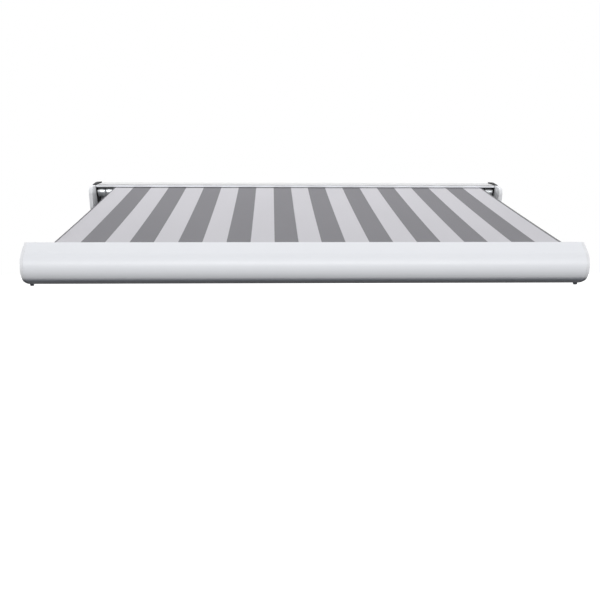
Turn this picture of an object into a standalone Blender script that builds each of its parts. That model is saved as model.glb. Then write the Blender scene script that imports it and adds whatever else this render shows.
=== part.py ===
"""Full-cassette folding-arm awning, shown with its arms open.

The cassette, the arms and the front bar are all laid out in the closed, level awning:
X runs along the wall, u runs away from the wall and w runs up. Empties on the joint
axes then lean the cassette to its pitch and open the arms. Units are metres.
"""
from math import asin, atan2, cos, hypot, pi, radians, sin

import bmesh
import bpy
from mathutils import Matrix, Vector

# overall sizes
BAR_WIDTH = 3.0
PITCH = radians(12.5)
PITCH_LOW = radians(5.0)
PITCH_HIGH = radians(30.0)
SEAT = 0.0003

# cassette section
BACK_U = -0.105
TOP_W = 0.118
LIP_U = 0.042
SHELL = 0.003
LIP_DROP = 0.010
CORNER = 0.028
CLOSING_GAP = 0.003
HOOD_SEAM_DROP = 0.045
HOOD_GROOVE = 0.0012
HOOD_GROOVE_BACK = 0.012
LIP_WALL = 0.004
GASKET = 0.003
STRIP_FRONT = 0.006
STRIP_ROOT = 0.001
EDGE = 0.002

# cassette end caps: plates that reach out beside the closed front bar
REAR_CAP = 0.025
CAP_GAP = 0.004
CAP_FRONT = 0.168
CAP_CORNER = 0.045
CAP_EDGE = 0.004

# front bar section, measured from its top lip
BAR_HIGH = 0.243
BAR_BACKSET = 0.047
NOSE_RADIUS = 0.090
NOSE_U = 0.029
NOSE_W = -0.118
TOP_BLEND = radians(60)
UNDER_BLEND = radians(-60)
BAR_SHELL = 0.0025
WEB_U = 0.045
BOSS_U = 0.004
BOSS_DEEP = 0.018
BOSS_WALL = 0.0025
FRONT_CAP = 0.016
CAP_TAB = 0.008
CAP_TAB_LONG = 0.024
CAP_LIP = 0.022

# roller and cloth
ROLLER_U = -0.030
ROLLER_W = 0.058
TUBE_RADIUS = 0.039
TUBE_WALL = 0.0015
ROLL_TURNS = 0.0015
CLOTH = 0.0012
CLOTH_MARGIN = 0.115
CLOTH_SHIFT = 0.020
ROLLER_OVERHANG = 0.048
JOURNAL_RADIUS = 0.008
JOURNAL_OUT = 0.004
ROLLER_PLATE = 0.006
ROLLER_PLATE_HALF = 0.020
ROLLER_GAP = 0.004
MOTOR_RADIUS = 0.0175
MOTOR_LONG = 0.560
MOTOR_HEAD = 0.030
CROWN_LONG = 0.030
PLUG_LONG = 0.060
KEDER_RADIUS = 0.0034
KEDER_SLACK = 0.0006
KEDER_U = 0.013
GLAND_X = 1.30
GLAND_U = -0.060
GLAND_RADIUS = 0.010
GLAND_LONG = 0.016
GLAND_NUT = 0.008
GLAND_BORE = 0.003

# arms
SHOULDER_X = 1.360
ARM_W = -0.042
ARM_REACH = 0.995
ARM_OFFSET = 0.024
ARM_ANGLE = radians(68)
ARM_HIGH = 0.060
ARM_DEEP = 0.038
ARM_WALL = 0.0025
ARM_CORNER = 0.008
TONGUE_HIGH = 0.044
EAR = 0.008
EAR_RADIUS = 0.022
TONGUE_RADIUS = 0.021
NECK = 0.028
NECK_GAP = 0.003
BRACKET_HALF = 0.040
CASTING = 0.085
SPIGOT = 0.030
OVERLAP = 0.002
ROOT = 0.004
PIN_RADIUS = 0.008
PIN_HEAD = 0.004
PIN_HEAD_OUT = 0.003
BELT_HIGH = 0.018
BELT_THICK = 0.002
SPRING_WIRE = 0.0024
SPRING_LONG = 0.30
SPRING_TURNS = 16
SPRING_STEPS = 8
SPRING_GAP = 0.040

# wall brackets
BRACKET_XS = {"left": -1.15, "centre": 0.0, "right": 1.15}
PLATE_WIDE = 0.110
PLATE_HIGH = 0.150
PLATE = 0.010
CHEEK = 0.008
LUG = 0.020
HINGE_BACK = 0.023
HINGE_W = -0.075
HINGE_OUT = 0.078
HINGE_DROP = 0.050
HINGE_RADIUS = 0.013
SLOT_RADIUS = 0.100
SLOT_LEAN = radians(3)
SLOT_SPARE = radians(4)
BOLT_RADIUS = 0.005
BOLT_SLACK = 0.0005
BOLT_HEAD = 0.006
BOLT_HEAD_RADIUS = 0.0085
BOLT_END = 0.005
CARRIER = 0.008
CARRIER_WIDE = 0.090
CARRIER_LOW = 0.030
CARRIER_HIGH = 0.125
WEB_INSET = 0.010
CHEEK_FOOT = 0.066
FOOT_ROOT = 0.001
WALL_BOLT_RADIUS = 0.006
WALL_BOLT_EDGE = 0.020
PLATE_CORNER = 0.008

# worked out from the sizes above
LINK = hypot(ARM_REACH, ARM_OFFSET)
FOLDED = asin(ARM_OFFSET / LINK)
OPENING = ARM_ANGLE - FOLDED
TRAVEL = 2 * LINK * (sin(ARM_ANGLE) - sin(FOLDED))
BAR_U = LIP_U + CLOSING_GAP
BOTTOM_W = TOP_W - BAR_HIGH
TIP_U = BAR_U - BAR_BACKSET
LOWER_LIP_U = TIP_U - CLOSING_GAP
ROLL_RADIUS = TUBE_RADIUS + ROLL_TURNS
CLOTH_W = ROLLER_W + ROLL_RADIUS + SEAT
KEDER_W = CLOTH_W + CLOTH / 2
HOOD_SEAM = TOP_W - HOOD_SEAM_DROP
HINGE_U = BACK_U - HINGE_BACK
BAR_HALF = BAR_WIDTH / 2
BAR_END = BAR_HALF - FRONT_CAP - SEAT
CASSETTE_HALF = BAR_HALF + CAP_GAP + REAR_CAP
CAP_LOW = CASSETTE_HALF - REAR_CAP
SHELL_END = CAP_LOW - GASKET - 2 * SEAT
CLOTH_WIDTH = BAR_WIDTH - 2 * CLOTH_MARGIN
ROLLER_END = CLOTH_WIDTH / 2 + ROLLER_OVERHANG
CLOTH_LOW = CLOTH_SHIFT - CLOTH_WIDTH / 2
CLOTH_HIGH = CLOTH_SHIFT + CLOTH_WIDTH / 2
SPRING_START = CASTING + SPIGOT + SPRING_GAP
TONGUE_HALF = TONGUE_HIGH / 2
EAR_LOW = TONGUE_HALF + SEAT
EAR_HIGH = EAR_LOW + EAR


def start_scene():
    """Empty the scene and make the two collections."""
    for old in list(bpy.data.objects):
        bpy.data.objects.remove(old, do_unlink=True)
    parts = bpy.data.collections.new("folding_arm_awning")
    cutters = bpy.data.collections.new("cutters")
    bpy.context.scene.collection.children.link(parts)
    bpy.context.scene.collection.children.link(cutters)
    return parts, cutters


PARTS, CUTTERS = start_scene()


def paint(name, colour, roughness, metallic=0.0):
    """A plain Principled finish."""
    material = bpy.data.materials.new(name)
    material.use_nodes = True
    shader = material.node_tree.nodes["Principled BSDF"]
    shader.inputs["Base Color"].default_value = (*colour, 1.0)
    shader.inputs["Roughness"].default_value = roughness
    shader.inputs["Metallic"].default_value = metallic
    return material


FINISHES = {
    "white": ((0.80, 0.81, 0.84), 0.35, 0.0),
    "cap": ((0.76, 0.77, 0.80), 0.45, 0.0),
    "black": ((0.02, 0.02, 0.022), 0.6, 0.0),
    "casting": ((0.74, 0.75, 0.78), 0.4, 0.0),
    "steel": ((0.55, 0.56, 0.58), 0.3, 1.0),
    "galvanised": ((0.62, 0.64, 0.66), 0.45, 1.0),
    "cloth": ((0.42, 0.42, 0.44), 0.9, 0.0),
    "motor": ((0.10, 0.10, 0.11), 0.5, 0.0),
}


def arc(centre, radius, start, end, steps):
    """Points on an arc in the section plane, from one angle to another."""
    turns = [start + (end - start) * i / steps for i in range(steps + 1)]
    return [(centre[0] + radius * cos(t), centre[1] + radius * sin(t)) for t in turns]


def circle(centre, radius, steps=24):
    """A closed ring of points."""
    return arc(centre, radius, 0, 2 * pi * (steps - 1) / steps, steps - 1)


def offset(path, distance):
    """The same path moved sideways, to the left of its own direction."""
    moved = []
    for i, here in enumerate(path):
        before = path[max(i - 1, 0)]
        after = path[min(i + 1, len(path) - 1)]
        along = (Vector(after) - Vector(before)).normalized()
        moved.append((here[0] - along.y * distance, here[1] + along.x * distance))
    return moved


def round_box(centre, wide, high, radius, steps=4):
    """A closed outline of a box with round corners."""
    points = []
    for turn, (sx, sy) in enumerate([(1, 1), (-1, 1), (-1, -1), (1, -1)]):
        corner = (centre[0] + sx * (wide / 2 - radius), centre[1] + sy * (high / 2 - radius))
        points += arc(corner, radius, turn * pi / 2, (turn + 1) * pi / 2, steps)
    return points


def mesh_object(name, mesh):
    """A new object in the parts collection."""
    made = bpy.data.objects.new(name, mesh)
    PARTS.objects.link(made)
    return made


def close_mesh(mesh):
    """Weld the caps of a converted curve and turn its faces outwards."""
    shape = bmesh.new()
    shape.from_mesh(mesh)
    bmesh.ops.remove_doubles(shape, verts=shape.verts, dist=0.00001)
    bmesh.ops.recalc_face_normals(shape, faces=shape.faces)
    shape.to_mesh(mesh)
    shape.free()


def prism(name, outlines, axis, low, high):
    """Flat outlines with holes, drawn out along X, Y or Z between two places.

    Along X an outline is read as (u, w), along Y as (x, w) and along Z as (x, u).
    """
    drawing = bpy.data.curves.new(name, "CURVE")
    drawing.dimensions = "2D"
    drawing.fill_mode = "BOTH"
    drawing.extrude = (high - low) / 2
    for outline in outlines:
        spline = drawing.splines.new("POLY")
        spline.points.add(len(outline) - 1)
        for point, (a, b) in zip(spline.points, outline):
            point.co = (a, b, 0, 1)
        spline.use_cyclic_u = True
    guide = bpy.data.objects.new(name, drawing)
    CUTTERS.objects.link(guide)
    depsgraph = bpy.context.evaluated_depsgraph_get()
    mesh = bpy.data.meshes.new_from_object(guide.evaluated_get(depsgraph))
    bpy.data.objects.remove(guide, do_unlink=True)
    middle = (high + low) / 2
    for vertex in mesh.vertices:
        a, b, c = vertex.co
        if axis == "X":
            vertex.co = (c + middle, -a, b)
        elif axis == "Y":
            vertex.co = (a, c + middle, b)
        else:
            vertex.co = (a, -b, c + middle)
    close_mesh(mesh)
    return mesh_object(name, mesh)


def rod(name, radius, start, end, sides=24):
    """A round bar between two points given as (x, u, w)."""
    start = Vector((start[0], -start[1], start[2]))
    end = Vector((end[0], -end[1], end[2]))
    shape = bmesh.new()
    span = end - start
    lay = span.to_track_quat("Z", "Y").to_matrix().to_4x4()
    lay.translation = (start + end) / 2
    bmesh.ops.create_cone(
        shape, cap_ends=True, segments=sides, radius1=radius, radius2=radius,
        depth=span.length, matrix=lay,
    )
    mesh = bpy.data.meshes.new(name)
    shape.to_mesh(mesh)
    shape.free()
    return mesh_object(name, mesh)


def apply_modifiers(target):
    """Turn a live stack of modifiers into plain mesh."""
    depsgraph = bpy.context.evaluated_depsgraph_get()
    mesh = bpy.data.meshes.new_from_object(target.evaluated_get(depsgraph))
    target.modifiers.clear()
    target.data = mesh


def combine(target, others, operation):
    """Join shapes to a target, or cut them from it."""
    for other in others:
        change = target.modifiers.new(operation.lower(), "BOOLEAN")
        change.operation = operation
        change.solver = "EXACT"
        change.object = other
    apply_modifiers(target)
    for other in others:
        bpy.data.objects.remove(other, do_unlink=True)
    close_mesh(target.data)
    return target


def soften(target, width, segments=2):
    """Round the sharp edges."""
    bevel = target.modifiers.new("rounded_edges", "BEVEL")
    bevel.width = width
    bevel.segments = segments
    bevel.limit_method = "ANGLE"
    bevel.angle_limit = radians(40)
    apply_modifiers(target)
    return target


def mirror_copy(source, name):
    """The left-hand twin of a right-hand shape."""
    mesh = source.data.copy()
    mesh.transform(Matrix.Scale(-1, 4, (1, 0, 0)))
    mesh.flip_normals()
    return mesh_object(name, mesh)


JOINT_PLACES = {}


def joint_empty(name, place, parent=None, turn=0.0):
    """An empty on a joint axis; its place is (x, u, w) in the closed, level awning."""
    place = Vector((place[0], -place[1], place[2]))
    empty = bpy.data.objects.new(name, None)
    empty.empty_display_size = 0.05
    PARTS.objects.link(empty)
    empty.parent = parent
    origin = JOINT_PLACES[parent.name] if parent else Vector()
    empty.location = place - origin
    empty.rotation_euler.z = turn
    JOINT_PLACES[name] = place
    return empty


def finish(target, material, carrier):
    """Give a piece its finish and hang it on its joint."""
    shade = MATERIALS[material].copy()
    shade.name = target.name + "_finish"
    target.data.materials.clear()
    target.data.materials.append(shade)
    target.data.shade_smooth()
    target.data.set_sharp_from_angle(angle=radians(35))
    if carrier:
        target.data.transform(Matrix.Translation(-JOINT_PLACES[carrier.name]))
        target.parent = carrier
    return target


MATERIALS = {name: paint(name, *values) for name, values in FINISHES.items()}


def make_joints():
    """The tree of joint axes, leaned and opened to the pose of the model."""
    pitch = joint_empty("pitch_axis", (0, HINGE_U, HINGE_W))
    pitch.location = (0, -HINGE_OUT, -HINGE_DROP)
    pitch.rotation_euler.x = PITCH
    joints = {"pitch": pitch}
    joints["roller"] = joint_empty("roller_axis", (0, ROLLER_U, ROLLER_W), pitch)
    for side, sign in (("right", 1), ("left", -1)):
        shoulder = joint_empty(
            f"shoulder_axis_{side}", (sign * SHOULDER_X, 0, ARM_W), pitch, sign * OPENING
        )
        elbow_x = sign * (SHOULDER_X - ARM_REACH)
        elbow = joint_empty(
            f"elbow_axis_{side}", (elbow_x, ARM_OFFSET, ARM_W), shoulder, -2 * sign * OPENING
        )
        joints[f"shoulder_{side}"] = shoulder
        joints[f"elbow_{side}"] = elbow
    joints["wrist"] = joint_empty(
        "wrist_axis_right", (SHOULDER_X, 2 * ARM_OFFSET, ARM_W), joints["elbow_right"], OPENING
    )
    return joints


JOINTS = make_joints()


def blend_arc(centre, radius, normal, tip):
    """The centre and radius of the arc that leaves a circle smoothly and reaches a tip."""
    gap = Vector(centre) - Vector(tip)
    out = Vector((cos(normal), sin(normal)))
    more = (gap.length_squared - radius ** 2) / (2 * (radius + gap.dot(out)))
    middle = Vector(centre) - out * more
    return middle, radius + more


def bar_path():
    """The outer curve of the front bar, from its top lip round the nose to its tip."""
    lip = (BAR_U, TOP_W)
    tip = (TIP_U, BOTTOM_W)
    nose = (BAR_U + NOSE_U, TOP_W + NOSE_W)
    top, top_radius = blend_arc(nose, NOSE_RADIUS, TOP_BLEND, lip)
    under, under_radius = blend_arc(nose, NOSE_RADIUS, UNDER_BLEND, tip)
    lip_turn = atan2(lip[1] - top.y, lip[0] - top.x)
    tip_turn = atan2(tip[1] - under.y, tip[0] - under.x)
    path = arc(top, top_radius, lip_turn, TOP_BLEND, 8)
    path += arc(nose, NOSE_RADIUS, TOP_BLEND, UNDER_BLEND, 20)[1:]
    path += arc(under, under_radius, UNDER_BLEND, tip_turn, 5)[1:]
    return path


def heights_at(path, place):
    """Where a path crosses one distance from the wall, highest first."""
    found = []
    for (a, b), (c, d) in zip(path, path[1:]):
        if min(a, c) <= place < max(a, c):
            found.append(b + (d - b) * (place - a) / (c - a))
    return sorted(found, reverse=True)


def hull(points):
    """The convex outline round some points."""
    points = sorted(set(points))

    def side(run):
        kept = []
        for point in run:
            while len(kept) > 1 and cross(kept[-2], kept[-1], point) <= 0:
                kept.pop()
            kept.append(point)
        return kept[:-1]

    return side(points) + side(points[::-1])


def cross(a, b, c):
    """Twice the signed area of a triangle."""
    return (b[0] - a[0]) * (c[1] - a[1]) - (b[1] - a[1]) * (c[0] - a[0])


def cassette_back_path():
    """The outside of the back profile, from under the hood down to the lower lip."""
    corner = (BACK_U + CORNER, BOTTOM_W + CORNER)
    return [(BACK_U, HOOD_SEAM)] + arc(corner, CORNER, pi, 1.5 * pi, 8) + [(LOWER_LIP_U, BOTTOM_W)]


def hood_path():
    """The outside of the hood, from its back edge over the top to its front lip."""
    corner = (BACK_U + CORNER, TOP_W - CORNER)
    groove = LIP_U - HOOD_GROOVE_BACK
    path = [(BACK_U, HOOD_SEAM + SEAT)] + arc(corner, CORNER, pi, pi / 2, 8)
    path += [(groove - EDGE, TOP_W), (groove - EDGE / 2, TOP_W - HOOD_GROOVE)]
    path += [(groove + EDGE / 2, TOP_W - HOOD_GROOVE), (groove + EDGE, TOP_W)]
    path += [(LIP_U - EDGE, TOP_W), (LIP_U, TOP_W - EDGE), (LIP_U, TOP_W - LIP_DROP)]
    return path


def end_cap_outline():
    """The side of a cassette end cap: the closed cassette and front bar in one outline."""
    back = arc((BACK_U + CORNER, TOP_W - CORNER), CORNER, pi, pi / 2, 8)
    front = arc((CAP_FRONT - CAP_CORNER, TOP_W - CAP_CORNER), CAP_CORNER, pi / 2, 0, 10)
    return hull(cassette_back_path()[1:] + back + front + bar_path())


def make_cassette():
    """The fixed shell: back profile, hood, seals and end caps."""
    back = cassette_back_path()
    outline = back + offset(back, SHELL)[::-1]
    piece = prism("back_profile", [outline], "X", -SHELL_END, SHELL_END)
    finish(piece, "white", JOINTS["pitch"])
    corner = (BACK_U + CORNER, TOP_W - CORNER)
    inner_lip = LIP_U - LIP_WALL
    inside = [(inner_lip, TOP_W - LIP_DROP), (inner_lip, TOP_W - SHELL)]
    inside += arc(corner, CORNER - SHELL, pi / 2, pi, 8)
    inside += [(BACK_U + SHELL, HOOD_SEAM + SEAT)]
    piece = prism("hood", [hood_path() + inside], "X", -SHELL_END, SHELL_END)
    finish(piece, "white", JOINTS["pitch"])
    brush_top = TOP_W - LIP_DROP - SEAT
    brush_low = CLOTH_W + CLOTH + SEAT
    brush = [(inner_lip, brush_low), (LIP_U, brush_low), (LIP_U, brush_top), (inner_lip, brush_top)]
    piece = prism("hood_brush", [brush], "X", -SHELL_END, SHELL_END)
    finish(piece, "black", JOINTS["pitch"])
    hood = [point for point in hood_path() if point[1] >= TOP_W - CORNER]
    smooth = [point for point in hood if point[1] != TOP_W - HOOD_GROOVE]
    section = cassette_back_path()[1:][::-1] + smooth
    low, high = CAP_LOW - GASKET - SEAT, CAP_LOW - SEAT
    gasket = prism("end_gasket_right", [section], "X", low, high)
    bed = TOP_W + SEAT
    strip = [(BACK_U + CORNER, bed), (LIP_U - STRIP_FRONT, bed)]
    strip += [(LIP_U - STRIP_FRONT - EDGE, bed + GASKET), (BACK_U + CORNER, bed + GASKET)]
    sunk = [(u, w - LIP_WALL if w == bed else w) for u, w in strip]
    rib = prism("gasket_rib", [sunk], "X", low, high)
    lid = prism("gasket_lid", [strip], "X", high - STRIP_ROOT, CASSETTE_HALF - EDGE)
    combine(gasket, [rib, lid], "UNION")
    cap = prism("cassette_end_cap_right", [end_cap_outline()], "X", CAP_LOW, CASSETTE_HALF)
    soften(cap, CAP_EDGE)
    for piece, material in ((gasket, "black"), (cap, "cap")):
        twin = mirror_copy(piece, piece.name.replace("right", "left"))
        finish(piece, material, JOINTS["pitch"])
        finish(twin, material, JOINTS["pitch"])


def stadium(pivot, radius, end_u):
    """An outline in (x, u): a round nose on a pivot, straight back to a given u."""
    x, u = pivot
    turn = 0 if end_u < u else pi
    nose = arc(pivot, radius, turn, turn + pi, 14)
    first = (nose[-1][0], end_u)
    last = (nose[0][0], end_u)
    return nose + [first, last]


def make_fork(name, pivot, body_u, body_w):
    """A clevis: a block with two round ears on a pivot that runs along w."""
    x, u = pivot
    low_u, high_u = body_u
    low_w, high_w = body_w
    block = [(low_u, low_w), (high_u, low_w), (high_u, high_w), (low_u, high_w)]
    if low_w < ARM_W - EAR_HIGH:
        block[0:1] = [(low_u, low_w + CORNER), (low_u + CORNER, low_w)]
    fork = prism(name, [block], "X", x - BRACKET_HALF, x + BRACKET_HALF)
    soften(fork, EDGE, 1)
    near = high_u if u > high_u else low_u
    inward = -ROOT if u > high_u else ROOT
    ear = stadium(pivot, EAR_RADIUS, near + inward)
    hole = circle(pivot, PIN_RADIUS + SEAT)
    ears = [
        prism("ear_low", [ear, hole], "Z", ARM_W - EAR_HIGH, ARM_W - EAR_LOW),
        prism("ear_high", [ear, hole], "Z", ARM_W + EAR_LOW, ARM_W + EAR_HIGH),
    ]
    return combine(fork, ears, "UNION")


def make_pin(name, x, u):
    """A headed pin along w, through both ears of a fork and the tongue between them."""
    low = ARM_W - EAR_HIGH - SEAT - PIN_HEAD
    high = ARM_W + EAR_HIGH + SEAT + PIN_HEAD
    wide = PIN_RADIUS + PIN_HEAD_OUT
    pin = rod(name, PIN_RADIUS, (x, u, low + EDGE), (x, u, high - EDGE), 24)
    head = rod("pin_head", wide, (x, u, high - PIN_HEAD), (x, u, high), 24)
    ring = rod("pin_ring", wide, (x, u, low), (x, u, low + PIN_HEAD), 24)
    return combine(pin, [head, ring], "UNION")


def make_arm_end(name, pivot, toward, tube_u, ears):
    """A cast arm end: a tongue or two ears on the pivot, a neck and a spigot in the tube."""
    x, u = pivot
    half = ARM_DEEP / 2
    start = x + toward * NECK
    seat = x + toward * CASTING
    tip = seat + toward * SPIGOT
    body = [round_box((tube_u, ARM_W), ARM_DEEP, ARM_HIGH, ARM_CORNER)]
    casting = prism(name, body, "X", min(start, seat), max(start, seat))
    slack = 2 * (ARM_WALL + SEAT)
    corner = ARM_CORNER - ARM_WALL
    inside = [round_box((tube_u, ARM_W), ARM_DEEP - slack, ARM_HIGH - slack, corner)]
    inner = seat - toward * OVERLAP
    spigot = prism("spigot", inside, "X", min(inner, tip), max(inner, tip))
    base_x = start + toward * ROOT
    radius = EAR_RADIUS if ears else TONGUE_RADIUS
    low, high = tube_u - half, tube_u + half
    if tube_u > u and not ears:
        high = u + TONGUE_RADIUS
    ring = circle(pivot, radius, 28)
    outline = hull(ring + [(base_x, low), (base_x, high)])
    hole = circle(pivot, PIN_RADIUS + SEAT)
    layers = [(-TONGUE_HALF, TONGUE_HALF)]
    if ears:
        layers = [(-EAR_HIGH, -EAR_LOW), (EAR_LOW, EAR_HIGH)]
    plates = [
        prism(f"layer_{i}", [outline, hole], "Z", ARM_W + a, ARM_W + b)
        for i, (a, b) in enumerate(layers)
    ]
    return combine(casting, [spigot] + plates, "UNION")


def make_tube(name, pivot_x, far_x, tube_u):
    """One hollow arm tube between the castings on two pivots."""
    low = min(pivot_x, far_x) + CASTING + SEAT
    high = max(pivot_x, far_x) - CASTING - SEAT
    outer = round_box((tube_u, ARM_W), ARM_DEEP, ARM_HIGH, ARM_CORNER)
    wall = 2 * ARM_WALL
    inner = round_box((tube_u, ARM_W), ARM_DEEP - wall, ARM_HIGH - wall, ARM_CORNER - ARM_WALL)
    return prism(name, [outer, inner], "X", low, high)


def make_spring(name, start_x, tube_u):
    """The tension spring that opens the arm, a round coil along its tube."""
    radius = ARM_DEEP / 2 - ARM_WALL - SEAT - SPRING_WIRE
    steps = SPRING_TURNS * SPRING_STEPS
    coil = bpy.data.curves.new(name, "CURVE")
    coil.dimensions = "3D"
    coil.bevel_depth = SPRING_WIRE
    coil.bevel_resolution = 0
    coil.use_fill_caps = True
    spline = coil.splines.new("POLY")
    spline.points.add(steps)
    for i, point in enumerate(spline.points):
        turn = 2 * pi * i / SPRING_STEPS
        place = (start_x + SPRING_LONG * i / steps, -tube_u + radius * cos(turn))
        point.co = (*place, ARM_W + radius * sin(turn), 1)
    guide = bpy.data.objects.new(name, coil)
    CUTTERS.objects.link(guide)
    depsgraph = bpy.context.evaluated_depsgraph_get()
    mesh = bpy.data.meshes.new_from_object(guide.evaluated_get(depsgraph))
    bpy.data.objects.remove(guide, do_unlink=True)
    close_mesh(mesh)
    return mesh_object(name, mesh)


def make_belt(name, pivot):
    """The pull belt round the elbow, bent as it lies on the open arm."""
    x, u = pivot
    radius = TONGUE_RADIUS + SEAT + BELT_THICK / 2
    run = NECK - SEAT
    wrap = pi - 2 * OPENING
    steps = 10
    turns = [-pi / 2 - wrap * i / steps for i in range(steps + 1)]
    path = [(x + run, u - radius)]
    path += [(x + radius * cos(t), u + radius * sin(t)) for t in turns]
    along = (cos(2 * OPENING), sin(2 * OPENING))
    path += [(path[-1][0] + run * along[0], path[-1][1] + run * along[1])]
    outline = offset(path, BELT_THICK / 2) + offset(path, -BELT_THICK / 2)[::-1]
    return prism(name, [outline], "Z", ARM_W - BELT_HIGH / 2, ARM_W + BELT_HIGH / 2)


def make_arms():
    """Both folding arms, with their shoulder brackets on the cassette."""
    shoulder = (SHOULDER_X, 0.0)
    elbow = (SHOULDER_X - ARM_REACH, ARM_OFFSET)
    wrist = (SHOULDER_X, 2 * ARM_OFFSET)
    front = 2 * ARM_OFFSET
    back_face = BACK_U + SHELL + SEAT
    bottom_face = BOTTOM_W + SHELL + SEAT
    bracket_u = (back_face, -NECK - NECK_GAP)
    bracket_w = (bottom_face, ARM_W + EAR_HIGH)
    pieces = {
        "arm_bracket": (make_fork("bracket", shoulder, bracket_u, bracket_w), "casting", "pitch"),
        "shoulder_pin": (make_pin("pin_a", *shoulder), "steel", "pitch"),
        "shoulder_casting": (make_arm_end("end_a", shoulder, -1, 0.0, False), "casting", "shoulder"),
        "upper_arm": (make_tube("tube_a", shoulder[0], elbow[0], 0.0), "white", "shoulder"),
        "elbow_fork": (make_arm_end("end_b", elbow, 1, 0.0, True), "casting", "shoulder"),
        "elbow_pin": (make_pin("pin_b", *elbow), "steel", "shoulder"),
        "elbow_belt": (make_belt("belt", elbow), "black", "shoulder"),
        "elbow_tongue": (make_arm_end("end_c", elbow, 1, front, False), "casting", "elbow"),
        "forearm": (make_tube("tube_b", elbow[0], wrist[0], front), "white", "elbow"),
        "arm_spring": (make_spring("coil", elbow[0] + SPRING_START, front), "steel", "elbow"),
        "wrist_casting": (make_arm_end("end_d", wrist, -1, front, False), "casting", "elbow"),
    }
    for name, (piece, material, joint) in pieces.items():
        twin = mirror_copy(piece, f"{name}_left")
        piece.name = f"{name}_right"
        for side, made in (("right", piece), ("left", twin)):
            key = joint if joint == "pitch" else f"{joint}_{side}"
            finish(made, material, JOINTS[key])


def make_front_bar():
    """The front bar: profile, end caps, hem rod and the two wrist brackets."""
    path = bar_path()
    inner = offset(path, -BAR_SHELL)
    profile = prism("front_profile", [path + inner[::-1]], "X", -BAR_END, BAR_END)
    web_u = BAR_U + WEB_U
    upper, lower = heights_at(path, web_u)
    half = BAR_SHELL / 2
    web = [(web_u - half, lower + BAR_SHELL), (web_u + half, lower + BAR_SHELL)]
    web += [(web_u + half, upper - BAR_SHELL), (web_u - half, upper - BAR_SHELL)]
    web = prism("web", [web], "X", -BAR_END, BAR_END)
    centre = (BAR_U + KEDER_U, KEDER_W)
    room = KEDER_RADIUS + KEDER_SLACK
    slot = CLOTH / 2 + KEDER_SLACK
    mouth = asin(slot / room)
    back = BAR_U + BOSS_U
    low = KEDER_W - room - BOSS_WALL
    front = back + BOSS_DEEP
    tops = [(u, heights_at(path, u)[0] - half) for u in (back, front)]
    boss = tops + [(front, low), (back, low)]
    boss += [(back, KEDER_W - slot)] + arc(centre, room, -pi + mouth, pi - mouth, 16)
    boss += [(back, KEDER_W + slot)]
    boss = prism("boss", [boss], "X", -BAR_END, BAR_END)
    combine(profile, [web, boss], "UNION")
    finish(profile, "white", JOINTS["wrist"])
    hem = rod("hem_rod", KEDER_RADIUS, (CLOTH_LOW, *centre), (CLOTH_HIGH, *centre), 16)
    finish(hem, "black", JOINTS["wrist"])
    low = BOTTOM_W - CAP_TAB
    tab = [(TIP_U + CAP_TAB_LONG, low + CAP_TAB * 0.75), (TIP_U + CAP_TAB_LONG * 0.6, low)]
    tab += [(TIP_U, low), (BAR_U, TOP_W - CAP_LIP)]
    cap = prism("front_end_cap_right", [path[:-1] + tab], "X", BAR_HALF - FRONT_CAP, BAR_HALF)
    soften(cap, CAP_EDGE)
    pivot = (SHOULDER_X, 2 * ARM_OFFSET)
    body_u = (pivot[1] + NECK + NECK_GAP, web_u - half - SEAT)
    body_w = (ARM_W - EAR_HIGH, ARM_W + EAR_HIGH)
    bracket = make_fork("wrist_bracket_right", pivot, body_u, body_w)
    pin = make_pin("wrist_pin_right", *pivot)
    for piece, material in ((cap, "cap"), (bracket, "casting"), (pin, "steel")):
        twin = mirror_copy(piece, piece.name.replace("right", "left"))
        finish(piece, material, JOINTS["wrist"])
        finish(twin, material, JOINTS["wrist"])


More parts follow.
